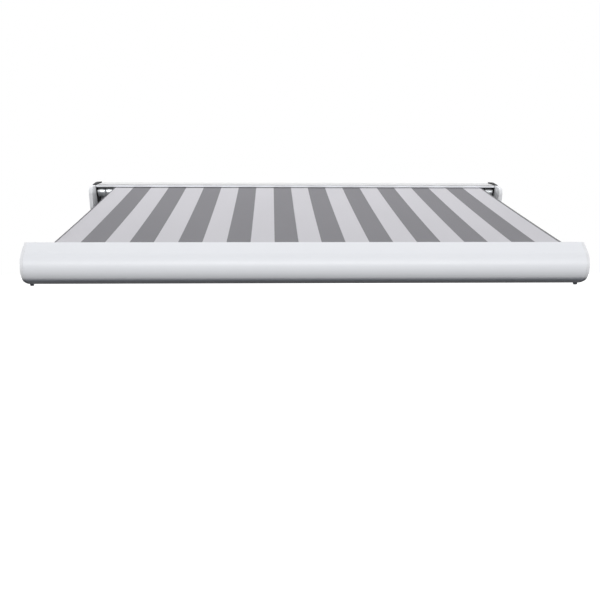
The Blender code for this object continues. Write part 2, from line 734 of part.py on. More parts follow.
def make_roller():
    """The roller tube with its turns of cloth, its end fittings, motor and end plates."""
    centre = (ROLLER_U, ROLLER_W)
    inner = TUBE_RADIUS - TUBE_WALL
    end = ROLLER_END
    rings = [circle(centre, TUBE_RADIUS, 40), circle(centre, inner, 40)]
    finish(prism("roller_tube", rings, "X", -end, end), "galvanised", JOINTS["roller"])
    rings = [circle(centre, ROLL_RADIUS, 40), circle(centre, TUBE_RADIUS + SEAT, 40)]
    finish(prism("cloth_roll", rings, "X", CLOTH_LOW, CLOTH_HIGH), "cloth", JOINTS["roller"])
    fit = inner - SEAT
    plate_low = end + ROLLER_GAP
    plate_high = plate_low + ROLLER_PLATE
    tip = plate_high + JOURNAL_OUT
    plug = rod("idler_plug", fit, (PLUG_LONG - end, *centre), (-end - EDGE, *centre), 32)
    axle = rod("axle", JOURNAL_RADIUS, (PLUG_LONG / 2 - end, *centre), (-tip, *centre))
    finish(combine(plug, [axle], "UNION"), "black", JOINTS["roller"])
    motor_end = end - MOTOR_LONG
    motor = rod("tube_motor", MOTOR_RADIUS, (motor_end, *centre), (end + EDGE, *centre), 32)
    head = rod("head", fit - ROLLER_GAP, (end + SEAT, *centre), (plate_low - SEAT, *centre), 32)
    stub = rod("stub", JOURNAL_RADIUS, (end, *centre), (tip, *centre))
    shaft_tip = motor_end - MOTOR_HEAD
    shaft = rod("shaft", JOURNAL_RADIUS, (shaft_tip, *centre), (motor_end + MOTOR_HEAD, *centre))
    combine(motor, [head, stub, shaft], "UNION")
    finish(motor, "motor", JOINTS["pitch"])
    rings = [circle(centre, fit, 32), circle(centre, MOTOR_RADIUS + SEAT, 32)]
    crown = prism("motor_crown", rings, "X", end - CROWN_LONG, end - SEAT)
    finish(crown, "black", JOINTS["roller"])
    rings = [circle(centre, fit, 32), circle(centre, JOURNAL_RADIUS + SEAT, 24)]
    drive = prism("drive_wheel", rings, "X", shaft_tip + ROLLER_GAP, motor_end - SEAT)
    finish(drive, "black", JOINTS["roller"])
    back_face = BACK_U + SHELL + SEAT
    hole = circle(centre, JOURNAL_RADIUS + SEAT)
    seam = HOOD_SEAM - SEAT
    half = ROLLER_PLATE_HALF
    face = ROLLER_U + half
    plate = [(back_face, ROLLER_W - 1.8 * half), (face, ROLLER_W - half)]
    plate += [(face, ROLLER_W + half), (ROLLER_U, ROLLER_W + 1.4 * half), (back_face, seam)]
    plate = prism("roller_plate_right", [plate, hole], "X", plate_low, plate_high)
    twin = mirror_copy(plate, "roller_plate_left")
    finish(plate, "galvanised", JOINTS["pitch"])
    finish(twin, "galvanised", JOINTS["pitch"])


def make_gland():
    """The gland for the motor's lead, on the underside of the back profile."""
    top = BOTTOM_W - SEAT
    low = top - GLAND_LONG
    neck = top - GLAND_NUT / 2
    place = (GLAND_X, GLAND_U)
    nut = rod("cable_gland", GLAND_RADIUS, (*place, top - GLAND_NUT), (*place, top), 6)
    dome = rod("dome", GLAND_RADIUS * 0.8, (*place, low), (*place, neck))
    bore = rod("bore", GLAND_BORE, (*place, low - GLAND_LONG), (*place, neck), 12)
    combine(nut, [dome], "UNION")
    combine(nut, [bore], "DIFFERENCE")
    finish(nut, "black", JOINTS["pitch"])


def make_cloth():
    """The cloth between the roller's top and the groove in the front bar, drawn tight."""
    start = ROLLER_U + EDGE
    end = BAR_U + TRAVEL + KEDER_U - KEDER_RADIUS - SEAT
    top = CLOTH_W + CLOTH
    section = [(start, CLOTH_W), (end, CLOTH_W), (end, top), (start, top)]
    cover = prism("cloth_cover", [section], "X", CLOTH_LOW, CLOTH_HIGH)
    finish(cover, "cloth", JOINTS["pitch"])


def lean(angle, radius, hinge):
    """A place at a distance from the hinge, leaned from straight up towards +u."""
    return (hinge[0] + radius * sin(angle), hinge[1] + radius * cos(angle))


def make_bolt(name, x, u, w, half):
    """A bolt along X with its head and nut outside the two cheeks."""
    near = half + SEAT
    far = near + BOLT_HEAD
    tip = half + BOLT_END
    bolt = rod(name, BOLT_RADIUS, (x - tip, u, w), (x + tip, u, w), 16)
    nut = rod("nut", BOLT_HEAD_RADIUS, (x - far, u, w), (x - near, u, w), 6)
    head = rod("head", BOLT_HEAD_RADIUS, (x + near, u, w), (x + far, u, w), 6)
    return combine(bolt, [nut, head], "UNION")


def make_wall_brackets():
    """Each wall bracket with its two bolts, and the carrier that leans in it."""
    hinge = (HINGE_OUT, -HINGE_DROP)
    clamp = lean(SLOT_LEAN, SLOT_RADIUS, hinge)
    bore = BOLT_RADIUS + BOLT_SLACK
    clamp_ring = HINGE_RADIUS - FOOT_ROOT
    spread_x = PLATE_WIDE / 2 - WALL_BOLT_EDGE
    spread_w = PLATE_HIGH / 2 - WALL_BOLT_EDGE
    cheek_low = LUG / 2 + SEAT
    cheek_high = cheek_low + CHEEK
    moving = (HINGE_U, HINGE_W)
    plate_face = BACK_U - SEAT
    for side, x in BRACKET_XS.items():
        holes = [
            circle((x + a * spread_x, b * spread_w), WALL_BOLT_RADIUS, 16)
            for a in (-1, 1) for b in (-1, 1)
        ]
        outline = round_box((x, 0), PLATE_WIDE, PLATE_HIGH, PLATE_CORNER)
        plate = prism(f"wall_bracket_{side}", [outline] + holes, "Y", -PLATE, 0)
        foot = PLATE - FOOT_ROOT
        cheek = hull(
            [(foot, CHEEK_FOOT), (foot, -CHEEK_FOOT)]
            + circle(hinge, HINGE_RADIUS) + circle(clamp, clamp_ring)
        )
        bores = [circle(hinge, bore, 16), circle(clamp, bore, 16)]
        cheeks = [
            prism("cheek", [cheek] + bores, "X", x + min(a, b), x + max(a, b))
            for a, b in ((cheek_low, cheek_high), (-cheek_low, -cheek_high))
        ]
        combine(plate, cheeks, "UNION")
        finish(plate, "white", None)
        finish(make_bolt(f"hinge_bolt_{side}", x, *hinge, cheek_high), "steel", None)
        finish(make_bolt(f"clamp_bolt_{side}", x, *clamp, cheek_high), "steel", None)
        first = SLOT_LEAN - PITCH_HIGH - SLOT_SPARE
        last = SLOT_LEAN - PITCH_LOW + SLOT_SPARE
        ends = [lean(first, SLOT_RADIUS, moving), lean(last, SLOT_RADIUS, moving)]
        low = HINGE_W - CARRIER_LOW
        high = HINGE_W + CARRIER_HIGH
        carrier = [(plate_face - CARRIER, low), (plate_face, low)]
        carrier += [(plate_face, high), (plate_face - CARRIER, high)]
        half = CARRIER_WIDE / 2
        carrier = prism(f"carrier_{side}", [carrier], "X", x - half, x + half)
        seat = plate_face - FOOT_ROOT
        body = hull(
            [(seat, low + WEB_INSET), (seat, high - WEB_INSET)]
            + circle(moving, HINGE_RADIUS)
            + circle(ends[0], clamp_ring) + circle(ends[1], clamp_ring)
        )
        slot = [lean(first + (last - first) * i / 10, SLOT_RADIUS + bore, moving) for i in range(11)]
        slot += [
            lean(last + (first - last) * i / 10, SLOT_RADIUS - bore, moving) for i in range(11)
        ]
        lug = prism("lug", [body, circle(moving, bore, 16), slot], "X", x - LUG / 2, x + LUG / 2)
        combine(carrier, [lug], "UNION")
        finish(carrier, "galvanised", JOINTS["pitch"])


make_cassette()
make_arms()
make_front_bar()
make_roller()
make_gland()
make_cloth()
make_wall_brackets()
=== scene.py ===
# %% [markdown]
# # A folding-arm awning, dressed for its portrait
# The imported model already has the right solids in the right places: a cassette on three
# wall brackets, a roller, two folding arms and a front bar. This script keeps them as the
# frame and adds what makes the real thing look real: a striped cloth that hangs slightly
# between the roller and the bar, bristles under the hood, open seals, stitches, screws,
# belts, and a procedural finish for every piece. All lengths are in metres.

# %% Load the frame and remember its box
from math import asin, cos, hypot, pi, radians, sin

import bmesh
import bpy
from mathutils import Matrix, Vector


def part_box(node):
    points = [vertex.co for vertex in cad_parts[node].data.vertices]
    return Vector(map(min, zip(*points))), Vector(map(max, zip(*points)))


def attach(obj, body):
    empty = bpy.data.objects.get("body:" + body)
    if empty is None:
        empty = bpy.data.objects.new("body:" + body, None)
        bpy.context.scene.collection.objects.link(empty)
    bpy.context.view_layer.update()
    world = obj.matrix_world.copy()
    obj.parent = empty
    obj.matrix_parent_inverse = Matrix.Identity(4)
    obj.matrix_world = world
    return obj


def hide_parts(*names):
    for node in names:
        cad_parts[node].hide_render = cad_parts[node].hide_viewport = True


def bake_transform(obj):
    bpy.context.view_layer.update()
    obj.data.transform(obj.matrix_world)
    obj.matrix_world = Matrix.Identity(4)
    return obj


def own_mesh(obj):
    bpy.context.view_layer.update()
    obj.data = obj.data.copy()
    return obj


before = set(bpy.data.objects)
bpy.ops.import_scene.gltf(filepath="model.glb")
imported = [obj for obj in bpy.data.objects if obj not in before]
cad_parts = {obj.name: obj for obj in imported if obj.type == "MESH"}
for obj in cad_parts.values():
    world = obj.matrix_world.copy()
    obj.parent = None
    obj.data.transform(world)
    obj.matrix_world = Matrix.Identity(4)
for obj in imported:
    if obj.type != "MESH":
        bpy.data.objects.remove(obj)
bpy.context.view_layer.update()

# %% [markdown]
# ## The camera comes first
# The photo is a square picture taken from in front, a little to the left, with a normal
# lens. The stripes run towards one vanishing point, and with the lengths of the front bar
# and the cassette that is enough to solve for the place, turn and lens of the camera.

# %% Set the camera
PHOTO_WIDTH = 600
FOCAL_PIXELS = 788.4
SENSOR = 36.0
CAMERA_PLACE = (-0.193, -6.273, -0.2014)
CAMERA_TURN = radians(2.057)
CAMERA_DOWN = radians(5.371)


def set_camera():
    """A plain camera at the photo's place, with the photo's lens."""
    data = bpy.data.cameras.new("portrait_camera")
    data.sensor_width = SENSOR
    data.lens = FOCAL_PIXELS * SENSOR / PHOTO_WIDTH
    camera = bpy.data.objects.new("portrait_camera", data)
    bpy.context.scene.collection.objects.link(camera)
    camera.location = CAMERA_PLACE
    camera.rotation_euler = (pi / 2 - CAMERA_DOWN, 0.0, -CAMERA_TURN)
    bpy.context.scene.camera = camera
    print("camera lens:", round(data.lens, 1), "mm")


set_camera()

# %% [markdown]
# ## Where things are
# The awning is easiest to describe closed and level: x runs along the wall, u away from
# it and w up. One matrix for each body takes such a place to where that body is now,
# with the cassette leaned to its pitch and the arms opened.

# %% Sizes shared with the solids
SEAT = 0.0003
PITCH = radians(12.5)
BACK_U = -0.105
TOP_W = 0.118
LIP_U = 0.042
LIP_DROP = 0.010
BAR_HIGH = 0.243
BAR_U = 0.045
BAR_HALF = 1.5
CASSETTE_HALF = 1.529
HINGE = Vector((0.0, 0.128, -0.075))
HINGE_PLACE = Vector((0.0, -0.078, -0.050))
ROLLER_U = -0.030
ROLLER_W = 0.058
TUBE_RADIUS = 0.039
ROLL_RADIUS = 0.0405
ROLLER_OVERHANG = 0.048
ROLLER_GAP = 0.004
ROLLER_PLATE = 0.006
CLOTH = 0.0012
CLOTH_WIDTH = 2.77
CLOTH_SHIFT = 0.020
KEDER_U = 0.013
KEDER_RADIUS = 0.0034
SHOULDER_X = 1.360
ARM_W = -0.042
ARM_REACH = 0.995
ARM_OFFSET = 0.024
ARM_ANGLE = radians(68)
ARM_HIGH = 0.060
CASTING = 0.085
TONGUE_HALF = 0.022
TONGUE_RADIUS = 0.021
NECK = 0.028
EAR = 0.008
PIN_HEAD = 0.004
BELT_HIGH = 0.018
BELT_THICK = 0.002
BRACKETS_X = (-1.15, 0.0, 1.15)
CARRIER = 0.008
SIDES = (("right", 1), ("left", -1))
LINK = hypot(ARM_REACH, ARM_OFFSET)
FOLDED = asin(ARM_OFFSET / LINK)
OPENING = ARM_ANGLE - FOLDED
TRAVEL = 2 * LINK * (sin(ARM_ANGLE) - sin(FOLDED))
CLOTH_W = ROLLER_W + ROLL_RADIUS + SEAT
print("travel of the front bar:", round(TRAVEL, 4))

# %% [markdown]
# ## One matrix for each body
# Each elbow turns twice as far as its shoulder, the other way, so the front bar moves
# straight out. Parented empties could carry the pieces through that, but plain matrices
# give the same places and leave nothing behind in the scene.


# %% Lean the cassette and open the arms
def turn_about(point, angle):
    """A turn about a vertical axis through a point of the closed, level awning."""
    there = Matrix.Translation(point)
    return there @ Matrix.Rotation(angle, 4, "Z") @ there.inverted()


def body_matrices():
    """Closed and level to the present pose, for each moving body."""
    lean = Matrix.Translation(HINGE_PLACE) @ Matrix.Rotation(PITCH, 4, "X")
    lean = lean @ Matrix.Translation(-HINGE)
    found = {"wall_brackets": Matrix(), "cassette": lean, "roller": lean}
    found["front_bar"] = lean @ Matrix.Translation((0, -TRAVEL, 0))
    for side, sign in SIDES:
        shoulder = turn_about(Vector((sign * SHOULDER_X, 0, ARM_W)), sign * OPENING)
        elbow_x = sign * (SHOULDER_X - ARM_REACH)
        elbow = turn_about(Vector((elbow_x, -ARM_OFFSET, ARM_W)), -2 * sign * OPENING)
        found[f"upper_arm_{side}"] = lean @ shoulder
        found[f"forearm_{side}"] = lean @ shoulder @ elbow
    return found


BODIES = body_matrices()


def at(body, x, u, w):
    """A place of the closed, level awning, where its body carries it now."""
    return BODIES[body] @ Vector((x, -u, w))


gap = (at("cassette", 0, ROLLER_U, ROLLER_W) - sum(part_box("roller_tube"), Vector()) / 2).yz
print("roller axis matches its solid within", round(gap.length * 1000, 2), "mm")

# %% [markdown]
# ## From corners to a piece
# Most small pieces are made the same way: rings of corners, a skin between them, normals
# that point outward, one finish, and smooth faces with sharp edges. These helpers hold
# those steps, so that each piece below only says what is its own.

# %% Stand, soften and skin
def stand(name, data):
    """A new object in the scene, at the origin and unturned."""
    thing = bpy.data.objects.new(name, data)
    bpy.context.scene.collection.objects.link(thing)
    return thing


def soften(mesh, degrees):
    """Smooth faces, but keep the edges that turn by more than this."""
    mesh.shade_smooth()
    mesh.set_sharp_from_angle(angle=radians(degrees))


def evaluated_mesh(piece):
    """The plain mesh that a piece's modifiers make."""
    depsgraph = bpy.context.evaluated_depsgraph_get()
    return bpy.data.meshes.new_from_object(piece.evaluated_get(depsgraph))


def skin(shape, rings):
    """Faces between each ring of corners and the next."""
    for inner, outer in zip(rings, rings[1:]):
        for i in range(len(inner)):
            j = (i + 1) % len(inner)
            corners = dict.fromkeys((inner[i], inner[j], outer[j], outer[i]))
            shape.faces.new(list(corners))


def piece_from(name, shape, finish=None, degrees=None):
    """Turn a bmesh into a piece with its finish: flat, or softened where degrees are given."""
    bmesh.ops.recalc_face_normals(shape, faces=shape.faces)
    mesh = bpy.data.meshes.new(name)
    shape.to_mesh(mesh)
    shape.free()
    if finish:
        mesh.materials.append(finish)
    if degrees:
        soften(mesh, degrees)
    return stand(name, mesh)


print("helpers ready")

# %% [markdown]
# ## Node trees written as sums
# A procedural finish is a sum: a base colour, a little noise, a stripe, a bump. Wiring
# Math nodes by hand hides that sum, so one small class wraps a socket and lets Python's
# own operators add the nodes. It works in shader trees and in Geometry Nodes trees alike.


# %% A socket that can be added, multiplied and compared
class Socket:
    """One output of a node. Arithmetic on it adds Math nodes to its tree."""

    def __init__(self, tree, output):
        self.tree = tree
        self.output = output

    def maths(self, operation, *others):
        """A Math node on this value and others, which may be numbers."""
        node = self.tree.tree.nodes.new("ShaderNodeMath")
        node.operation = operation
        for place, value in enumerate((self, *others)):
            self.tree.feed(node.inputs[place], value)
        return Socket(self.tree, node.outputs[0])

    def __add__(self, other):
        return self.maths("ADD", other)

    def __sub__(self, other):
        return self.maths("SUBTRACT", other)

    def __rsub__(self, other):
        return (self * -1) + other

    def __mul__(self, other):
        return self.maths("MULTIPLY", other)

    def __truediv__(self, other):
        return self.maths("DIVIDE", other)

    def __gt__(self, other):
        return self.maths("GREATER_THAN", other)

    def __lt__(self, other):
        return self.maths("LESS_THAN", other)

    def __pow__(self, other):
        return self.maths("POWER", other)

    def __mod__(self, other):
        return self.maths("FLOORED_MODULO", other)

    __radd__ = __add__
    __rmul__ = __mul__

    def sine(self):
        """The sine of this value."""
        return self.maths("SINE")

    def size(self):
        """This value without its sign."""
        return self.maths("ABSOLUTE")


class Tree:
    """A node tree that is filled from Python."""

    def __init__(self, tree):
        self.tree = tree

    def feed(self, slot, value):
        """Link a socket into a slot, or set the slot's own value."""
        if isinstance(value, Socket):
            self.tree.links.new(value.output, slot)
        else:
            slot.default_value = value

    def node(self, kind, settings=None, values=None, out=0):
        """Any node: its type, then its settings, then what feeds its sockets."""
        node = self.tree.nodes.new(kind)
        for name, value in (settings or {}).items():
            if name == "stops":
                self.set_stops(node, value)
            else:
                setattr(node, name, value)
        for name, value in (values or {}).items():
            self.feed(node.inputs[name], value)
        return Socket(self, node.outputs[out]) if node.outputs else node

    def set_stops(self, node, stops):
        """Place the stops of a colour ramp; a stop is a position and a grey or a colour."""
        ramp = node.color_ramp
        while len(ramp.elements) < len(stops):
            ramp.elements.new(1.0)
        for element, (place, colour) in zip(ramp.elements, stops):
            element.position = place
            element.color = colour if len(colour) == 4 else (*colour, 1.0)

    def split(self, vector):
        """The X, Y and Z of a vector as three sockets."""
        node = self.tree.nodes.new("ShaderNodeSeparateXYZ")
        self.feed(node.inputs[0], vector)
        return [Socket(self, output) for output in node.outputs]

    def join(self, x, y, z):
        """A vector from three values."""
        return self.node("ShaderNodeCombineXYZ", values={"X": x, "Y": y, "Z": z})


print("operators ready")

# %% [markdown]
# ## Finishes
# Nearly everything here is painted, and paint is never one flat value. Every finish
# gets three things: a colour with a little slow variation, a roughness that drifts, and a
# fine bump at the scale of the real surface. They read Object coordinates, so they stay
# put on the piece when it moves.

# %% The start of every finish
FINE_BUMP = 0.35


class Finish(Tree):
    """A material with one Principled shader, and the helpers that finishes share."""

    def __init__(self, name, metallic=0.0, specular=0.5):
        self.material = bpy.data.materials.new(name)
        self.material.use_nodes = True
        super().__init__(self.material.node_tree)
        self.shader = self.tree.nodes["Principled BSDF"]
        self.shader.inputs["Metallic"].default_value = metallic
        self.shader.inputs["Specular IOR Level"].default_value = specular
        self.place = self.node("ShaderNodeTexCoord", out="Object")

    def noise(self, scale, detail=3.0, stretch=(1.0, 1.0, 1.0)):
        """Smooth noise from 0 to 1 at a scale in cells per metre."""
        turned = self.node(
            "ShaderNodeMapping", {"vector_type": "POINT"}, {"Vector": self.place, "Scale": stretch}
        )
        return self.node(
            "ShaderNodeTexNoise", values={"Vector": turned, "Scale": scale, "Detail": detail}
        )

    def blend(self, amount, first, second):
        """A colour between two others, which may be colours or sockets."""
        node = self.tree.nodes.new("ShaderNodeMix")
        node.data_type = "RGBA"
        self.feed(node.inputs["Factor"], amount)
        colours = [slot for slot in node.inputs if slot.type == "RGBA"]
        self.feed(colours[0], first)
        self.feed(colours[1], second)
        return Socket(self, next(out for out in node.outputs if out.type == "RGBA"))

    def set(self, **values):
        """Feed the shader's sockets; an underscore stands for a space."""
        for name, value in values.items():
            self.feed(self.shader.inputs[name.replace("_", " ")], value)

    def bump(self, height, distance, strength=FINE_BUMP):
        """Turn a height from 0 to 1 into a normal; the distance is the relief in metres."""
        values = {"Height": height, "Distance": distance, "Strength": strength}
        self.set(Normal=self.node("ShaderNodeBump", values=values))


def tint(colour, factor):
    """The same colour, darker or lighter."""
    return tuple(min(part * factor, 1.0) for part in colour[:3]) + (1.0,)


print("finish helper ready")

# %% [markdown]
# ## Powder coat, caps and castings
# The profiles are aluminium with a baked powder coat: nearly white, satin, with a very
# fine orange peel. The end caps are moulded and a touch greyer, with a spark-eroded
# grain. The arm castings are coated too, but the cast skin under the paint is rougher.
# The same recipe makes them all, with other numbers. A scanned picture of paint could do
# it too, but noise has no seams and no end. The hood's top behind its lip is painted greyer,
# and the undersides of the front bar and its caps a dark bluish grey: both are painted shade.

# %% Make the painted finishes
WHITE = (0.80, 0.815, 0.85, 1.0)
CAP_WHITE = (0.765, 0.775, 0.80, 1.0)
CAST_WHITE = (0.73, 0.74, 0.765, 1.0)
# A grey for the hood's top behind its lip: painted shade.
HOOD_TOP_SHADE = (0.68, 0.685, 0.69, 1.0)
TOP_SHADE_FROM = 0.003
# A dark bluish grey below a height in z: painted shade under the front bar and its caps.
UNDERSIDE_SHADE_GREY = (0.76, 0.81, 0.93)
UNDERSIDE_SHADE_TOP = -0.473
UNDERSIDE_SHADE_FADE = 0.015


def painted(name, colour, roughness, grain, relief, underside_shade_share=1.0, top_shaded=False):
    """Paint with slow drift in colour and gloss, faint dust, and an even fine grain.

    Below a set height the paint turns to a dark bluish grey, scaled by the given share:
    painted shade on an underside. A piece with a shaded top is painted greyer from just behind the
    hood's lip: painted shade.
    """
    finish = Finish(name, specular=0.30)
    drift = finish.noise(2.3, 4.0)
    cloud = finish.noise(14.0, 5.0)
    dust = (drift * 0.6 + cloud * 0.4 - 0.46) * 0.5
    paint = finish.blend(dust + 0.12, colour, tint(colour, 0.90))
    # Painted shade: below a height, the paint turns to a dark bluish grey.
    if underside_shade_share < 1.0:
        height = finish.split(finish.place)[2]
        below = (height * -1 + UNDERSIDE_SHADE_TOP) / UNDERSIDE_SHADE_FADE
        paint = finish.blend(below, paint, tint(UNDERSIDE_SHADE_GREY, underside_shade_share))
    # Painted shade: the hood's top behind its lip is painted greyer.
    if top_shaded:
        _, y, z = finish.split(finish.place)
        lip = at("cassette", 0, LIP_U - TOP_SHADE_FROM, TOP_W)
        behind = (y * cos(PITCH) + z * sin(PITCH)) > (lip.y * cos(PITCH) + lip.z * sin(PITCH))
        paint = finish.blend(behind, paint, HOOD_TOP_SHADE)
    finish.set(Base_Color=paint)
    finish.set(Roughness=cloud * 0.10 + drift * 0.06 + (roughness - 0.08))
    finish.bump(finish.noise(grain, 2.0), relief)
    return finish.material


PAINTED = {
    "powder_coat": painted("white_powder_coat", WHITE, 0.38, 900.0, 0.00012),
    "cap": painted("moulded_cap_plastic", CAP_WHITE, 0.48, 1600.0, 0.00010),
    "casting": painted("coated_casting", CAST_WHITE, 0.44, 420.0, 0.0003),
    # The hood's top carries painted shade.
    "hood_coat": painted("dusty_powder_coat", WHITE, 0.46, 900.0, 0.00012, top_shaded=True),
    # The front bar and its caps carry painted shade on their undersides.
    "bar_coat": painted("rain_streaked_powder_coat", WHITE, 0.38, 900.0, 0.00012, 0.45),
    "bar_cap": painted("rain_streaked_cap_plastic", CAP_WHITE, 0.48, 1600.0, 0.00010, 0.25),
}
print("painted finishes:", ", ".join(PAINTED))

# %% [markdown]
# ## Black parts, steel and zinc
# Seals and plugs are black and matt. Pins and bolts are bare steel, turned, so their
# roughness runs in fine lines. The carriers, the roller, its plates and their covers are
# hot-dip galvanised: zinc freezes in flat crystals, which a Voronoi texture draws well.


# %% Make the hidden and hard finishes
def rubber(name, colour, roughness):
    """Matt rubber, plastic, paint or thread with a little bloom."""
    finish = Finish(name, specular=0.18)
    bloom = finish.noise(35.0, 5.0)
    finish.set(Base_Color=finish.blend(bloom * 0.5, colour, tint(colour, 2.4)))
    finish.set(Roughness=bloom * 0.15 + roughness)
    finish.bump(finish.noise(1200.0), 0.0001)
    return finish.material


def turned_steel(name, stretch):
    """Bare steel whose fine lines are packed along the axis with the largest stretch."""
    finish = Finish(name, metallic=1.0)
    lines = finish.noise(260.0, 4.0, stretch)
    stain = finish.noise(30.0, 3.0)
    steel = (0.56, 0.57, 0.59, 1.0)
    finish.set(Base_Color=finish.blend(stain * 0.5, steel, tint(steel, 0.72)))
    finish.set(Roughness=lines * 0.22 + 0.18)
    finish.bump(lines, 0.00005)
    return finish.material


def zinc(name):
    """Galvanised steel with flat crystals of different greys."""
    finish = Finish(name, metallic=1.0)
    values = {"Vector": finish.place, "Scale": 95.0, "Randomness": 1.0}
    crystal = finish.node("ShaderNodeTexVoronoi", {"feature": "F1"}, values, out="Color")
    grey = finish.split(crystal)[0]
    light = (0.66, 0.68, 0.70, 1.0)
    finish.set(Base_Color=finish.blend(grey * 0.8, light, tint(light, 0.70)))
    finish.set(Roughness=grey * 0.25 + 0.30)
    finish.bump(grey, 0.00008)
    return finish.material


HARD = {
    "black_plastic": rubber("black_plastic", (0.018, 0.018, 0.020, 1.0), 0.42),
    "seal": rubber("black_rubber", (0.014, 0.014, 0.015, 1.0), 0.62),
    "steel": turned_steel("turned_steel", (1.0, 1.0, 14.0)),
    "galvanised": zinc("hot_dip_zinc"),
    "motor": rubber("motor_tube_paint", (0.045, 0.046, 0.050, 1.0), 0.34),
}
print("hard finishes:", ", ".join(HARD))

# %% [markdown]
# ## The cloth's finish
# Awning cloth is a plain weave of solution-dyed yarn, sewn from widths. Its stripes are
# woven in, so they are sharp but a thread wide. The light and dark stripes are equal, the
# outermost are light, and a few millimetres of the next dark stripe are left in each hem.
# The last 5 mm at each edge are near black. A panel seam beside the fifth dark stripe takes
# five millimetres from the light one after it. Modelled thread by thread, the weave would be
# millions of faces, while two sine waves multiplied draw the same small cushions, and
# darken the gaps between them as painted shade.

# %% Weave the stripes
STRIPES = 21
STRIPE = 0.131
SEAM_AFTER = 10
SEAM_TAKES = 0.005
CLOTH_LOW = CLOTH_SHIFT - CLOTH_WIDTH / 2
CLOTH_HIGH = CLOTH_SHIFT + CLOTH_WIDTH / 2
STRIPES_LOW = CLOTH_SHIFT - STRIPE * STRIPES / 2
SEAM_X = STRIPES_LOW + SEAM_AFTER * STRIPE + SEAM_TAKES / 2
LIGHT_YARN = (0.619, 0.612, 0.647, 1.0)
DARK_YARN = (0.237, 0.235, 0.252, 1.0)
YARN = 0.0011
STRAY = 0.0008
EDGE_BAND = 0.005
EDGE_BAND_GREY = (0.055, 0.055, 0.06, 1.0)


def woven_cloth(name):
    """Striped plain weave, read from the x of the object and the length along the cloth."""
    finish = Finish(name, specular=0.18)
    x, y, z = finish.split(finish.place)
    along = y * cos(PITCH) + z * sin(PITCH)
    across = x - STRIPES_LOW + (x > SEAM_X) * SEAM_TAKES
    wobble = (finish.noise(220.0, 1.0) - 0.5) * STRAY
    dark = ((across + wobble) % (2 * STRIPE)) > STRIPE
    beyond = (x < STRIPES_LOW) + (x > STRIPES_LOW + STRIPES * STRIPE - SEAM_TAKES)
    dark = (dark + beyond).maths("MINIMUM", 1.0)
    warp = (x * (pi / YARN)).sine().size()
    weft = (along * (pi / YARN)).sine().size()
    weave = warp * weft
    weather = finish.noise(3.0, 4.0, (1.0, 0.35, 1.0))
    slub = finish.noise(160.0, 2.0, (6.0, 0.3, 0.3))
    # Weather and slub vary the yarn's own tone; (1 - weave) darkens the gaps between the yarns as
    # painted shade.
    shade = (weather - 0.5) * 0.20 + (slub - 0.5) * 0.16 + (1 - weave) * 0.10 + 0.06
    shade = shade.maths("MAXIMUM", 0.0)
    light = finish.blend(shade, LIGHT_YARN, tint(LIGHT_YARN, 0.72))
    deep = finish.blend(shade, DARK_YARN, tint(DARK_YARN, 0.62))
    # The last 5 mm at each edge of the cloth is near black.
    edge = (x < CLOTH_LOW + EDGE_BAND) + (x > CLOTH_HIGH - EDGE_BAND)
    finish.set(Base_Color=finish.blend(edge, finish.blend(dark, light, deep), EDGE_BAND_GREY))
    finish.set(Roughness=weave * 0.06 + 0.86)
    finish.bump(weave, 0.00022, 0.5)
    return finish.material


CLOTH_FINISH = woven_cloth("striped_awning_cloth")
print("stripes:", STRIPES, "of", STRIPE * 1000, "mm, seam at x", round(SEAM_X, 3))

# %% [markdown]
# ## Dress the solids that stay
# The imported solids whose shape is right keep their meshes and only change clothes. A
# node's name tells which finish the record gives it, so one loop dresses them all. The
# hood, the front bar and its caps get paint with painted shade: on the hood's top, and under the
# bar and its caps.

# %% Give every imported solid its finish
FINISHES = {**PAINTED, **HARD, "cloth": CLOTH_FINISH}
BLACK = ("brush", "hem_rod", "gland", "plug", "belt", "motor_crown", "drive_wheel")
SLOT_WORDS = {
    "seal": ("end_gasket",),
    "cap": ("end_cap",),
    "casting": ("casting", "fork", "tongue", "arm_bracket", "wrist_bracket"),
    "steel": ("bolt", "pin", "spring"),
    "galvanised": ("carrier", "roller_plate", "roller_tube"),
    "motor": ("tube_motor",),
    "cloth": ("cloth",),
    "black_plastic": BLACK,
}


def slot_of(node):
    """The record's material slot of a node: the first one with a word in the node's name."""
    for slot, words in SLOT_WORDS.items():
        if any(word in node for word in words):
            return slot
    return "powder_coat"


# These pieces get paint with painted shade: the hood's top, and the undersides of the front bar and
# its caps.
SPECIAL = {
    "hood": "hood_coat",
    "front_profile": "bar_coat",
    "front_end_cap_left": "bar_cap",
    "front_end_cap_right": "bar_cap",
}


def dress_solids():
    """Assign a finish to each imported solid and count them."""
    counts = {}
    for name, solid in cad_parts.items():
        chosen = SPECIAL.get(name, slot_of(name))
        for place in solid.material_slots:
            place.material = FINISHES[chosen]
        if not solid.material_slots:
            solid.data.materials.append(FINISHES[chosen])
        counts[chosen] = counts.get(chosen, 0) + 1
    print("dressed:", counts)


dress_solids()

# %% [markdown]
# ## The cloth
# On the real awning the arms' springs pull the cloth tight between the roller and the
# front bar, yet it still hangs a few millimetres under its own weight, and the two hems
# and the panel seam pull a little tighter than the cloth between them. That is a rule, so
# Geometry Nodes make it: a grid, a sag, two hems and a seam, with the main sizes as inputs.

# %% Grow a node group for meshes
def geometry_tree(name, inputs):
    """A Geometry Nodes tree with named inputs; returns the tree and its input sockets."""
    group = bpy.data.node_groups.new(name, "GeometryNodeTree")
    group.interface.new_socket("Geometry", in_out="OUTPUT", socket_type="NodeSocketGeometry")
    for label, (kind, value) in inputs.items():
        made = group.interface.new_socket(label, in_out="INPUT", socket_type=kind)
        if value is not None:
            made.default_value = value
    tree = Tree(group)
    entry = group.nodes.new("NodeGroupInput")
    sockets = {label: Socket(tree, entry.outputs[label]) for label in inputs}
    return tree, sockets


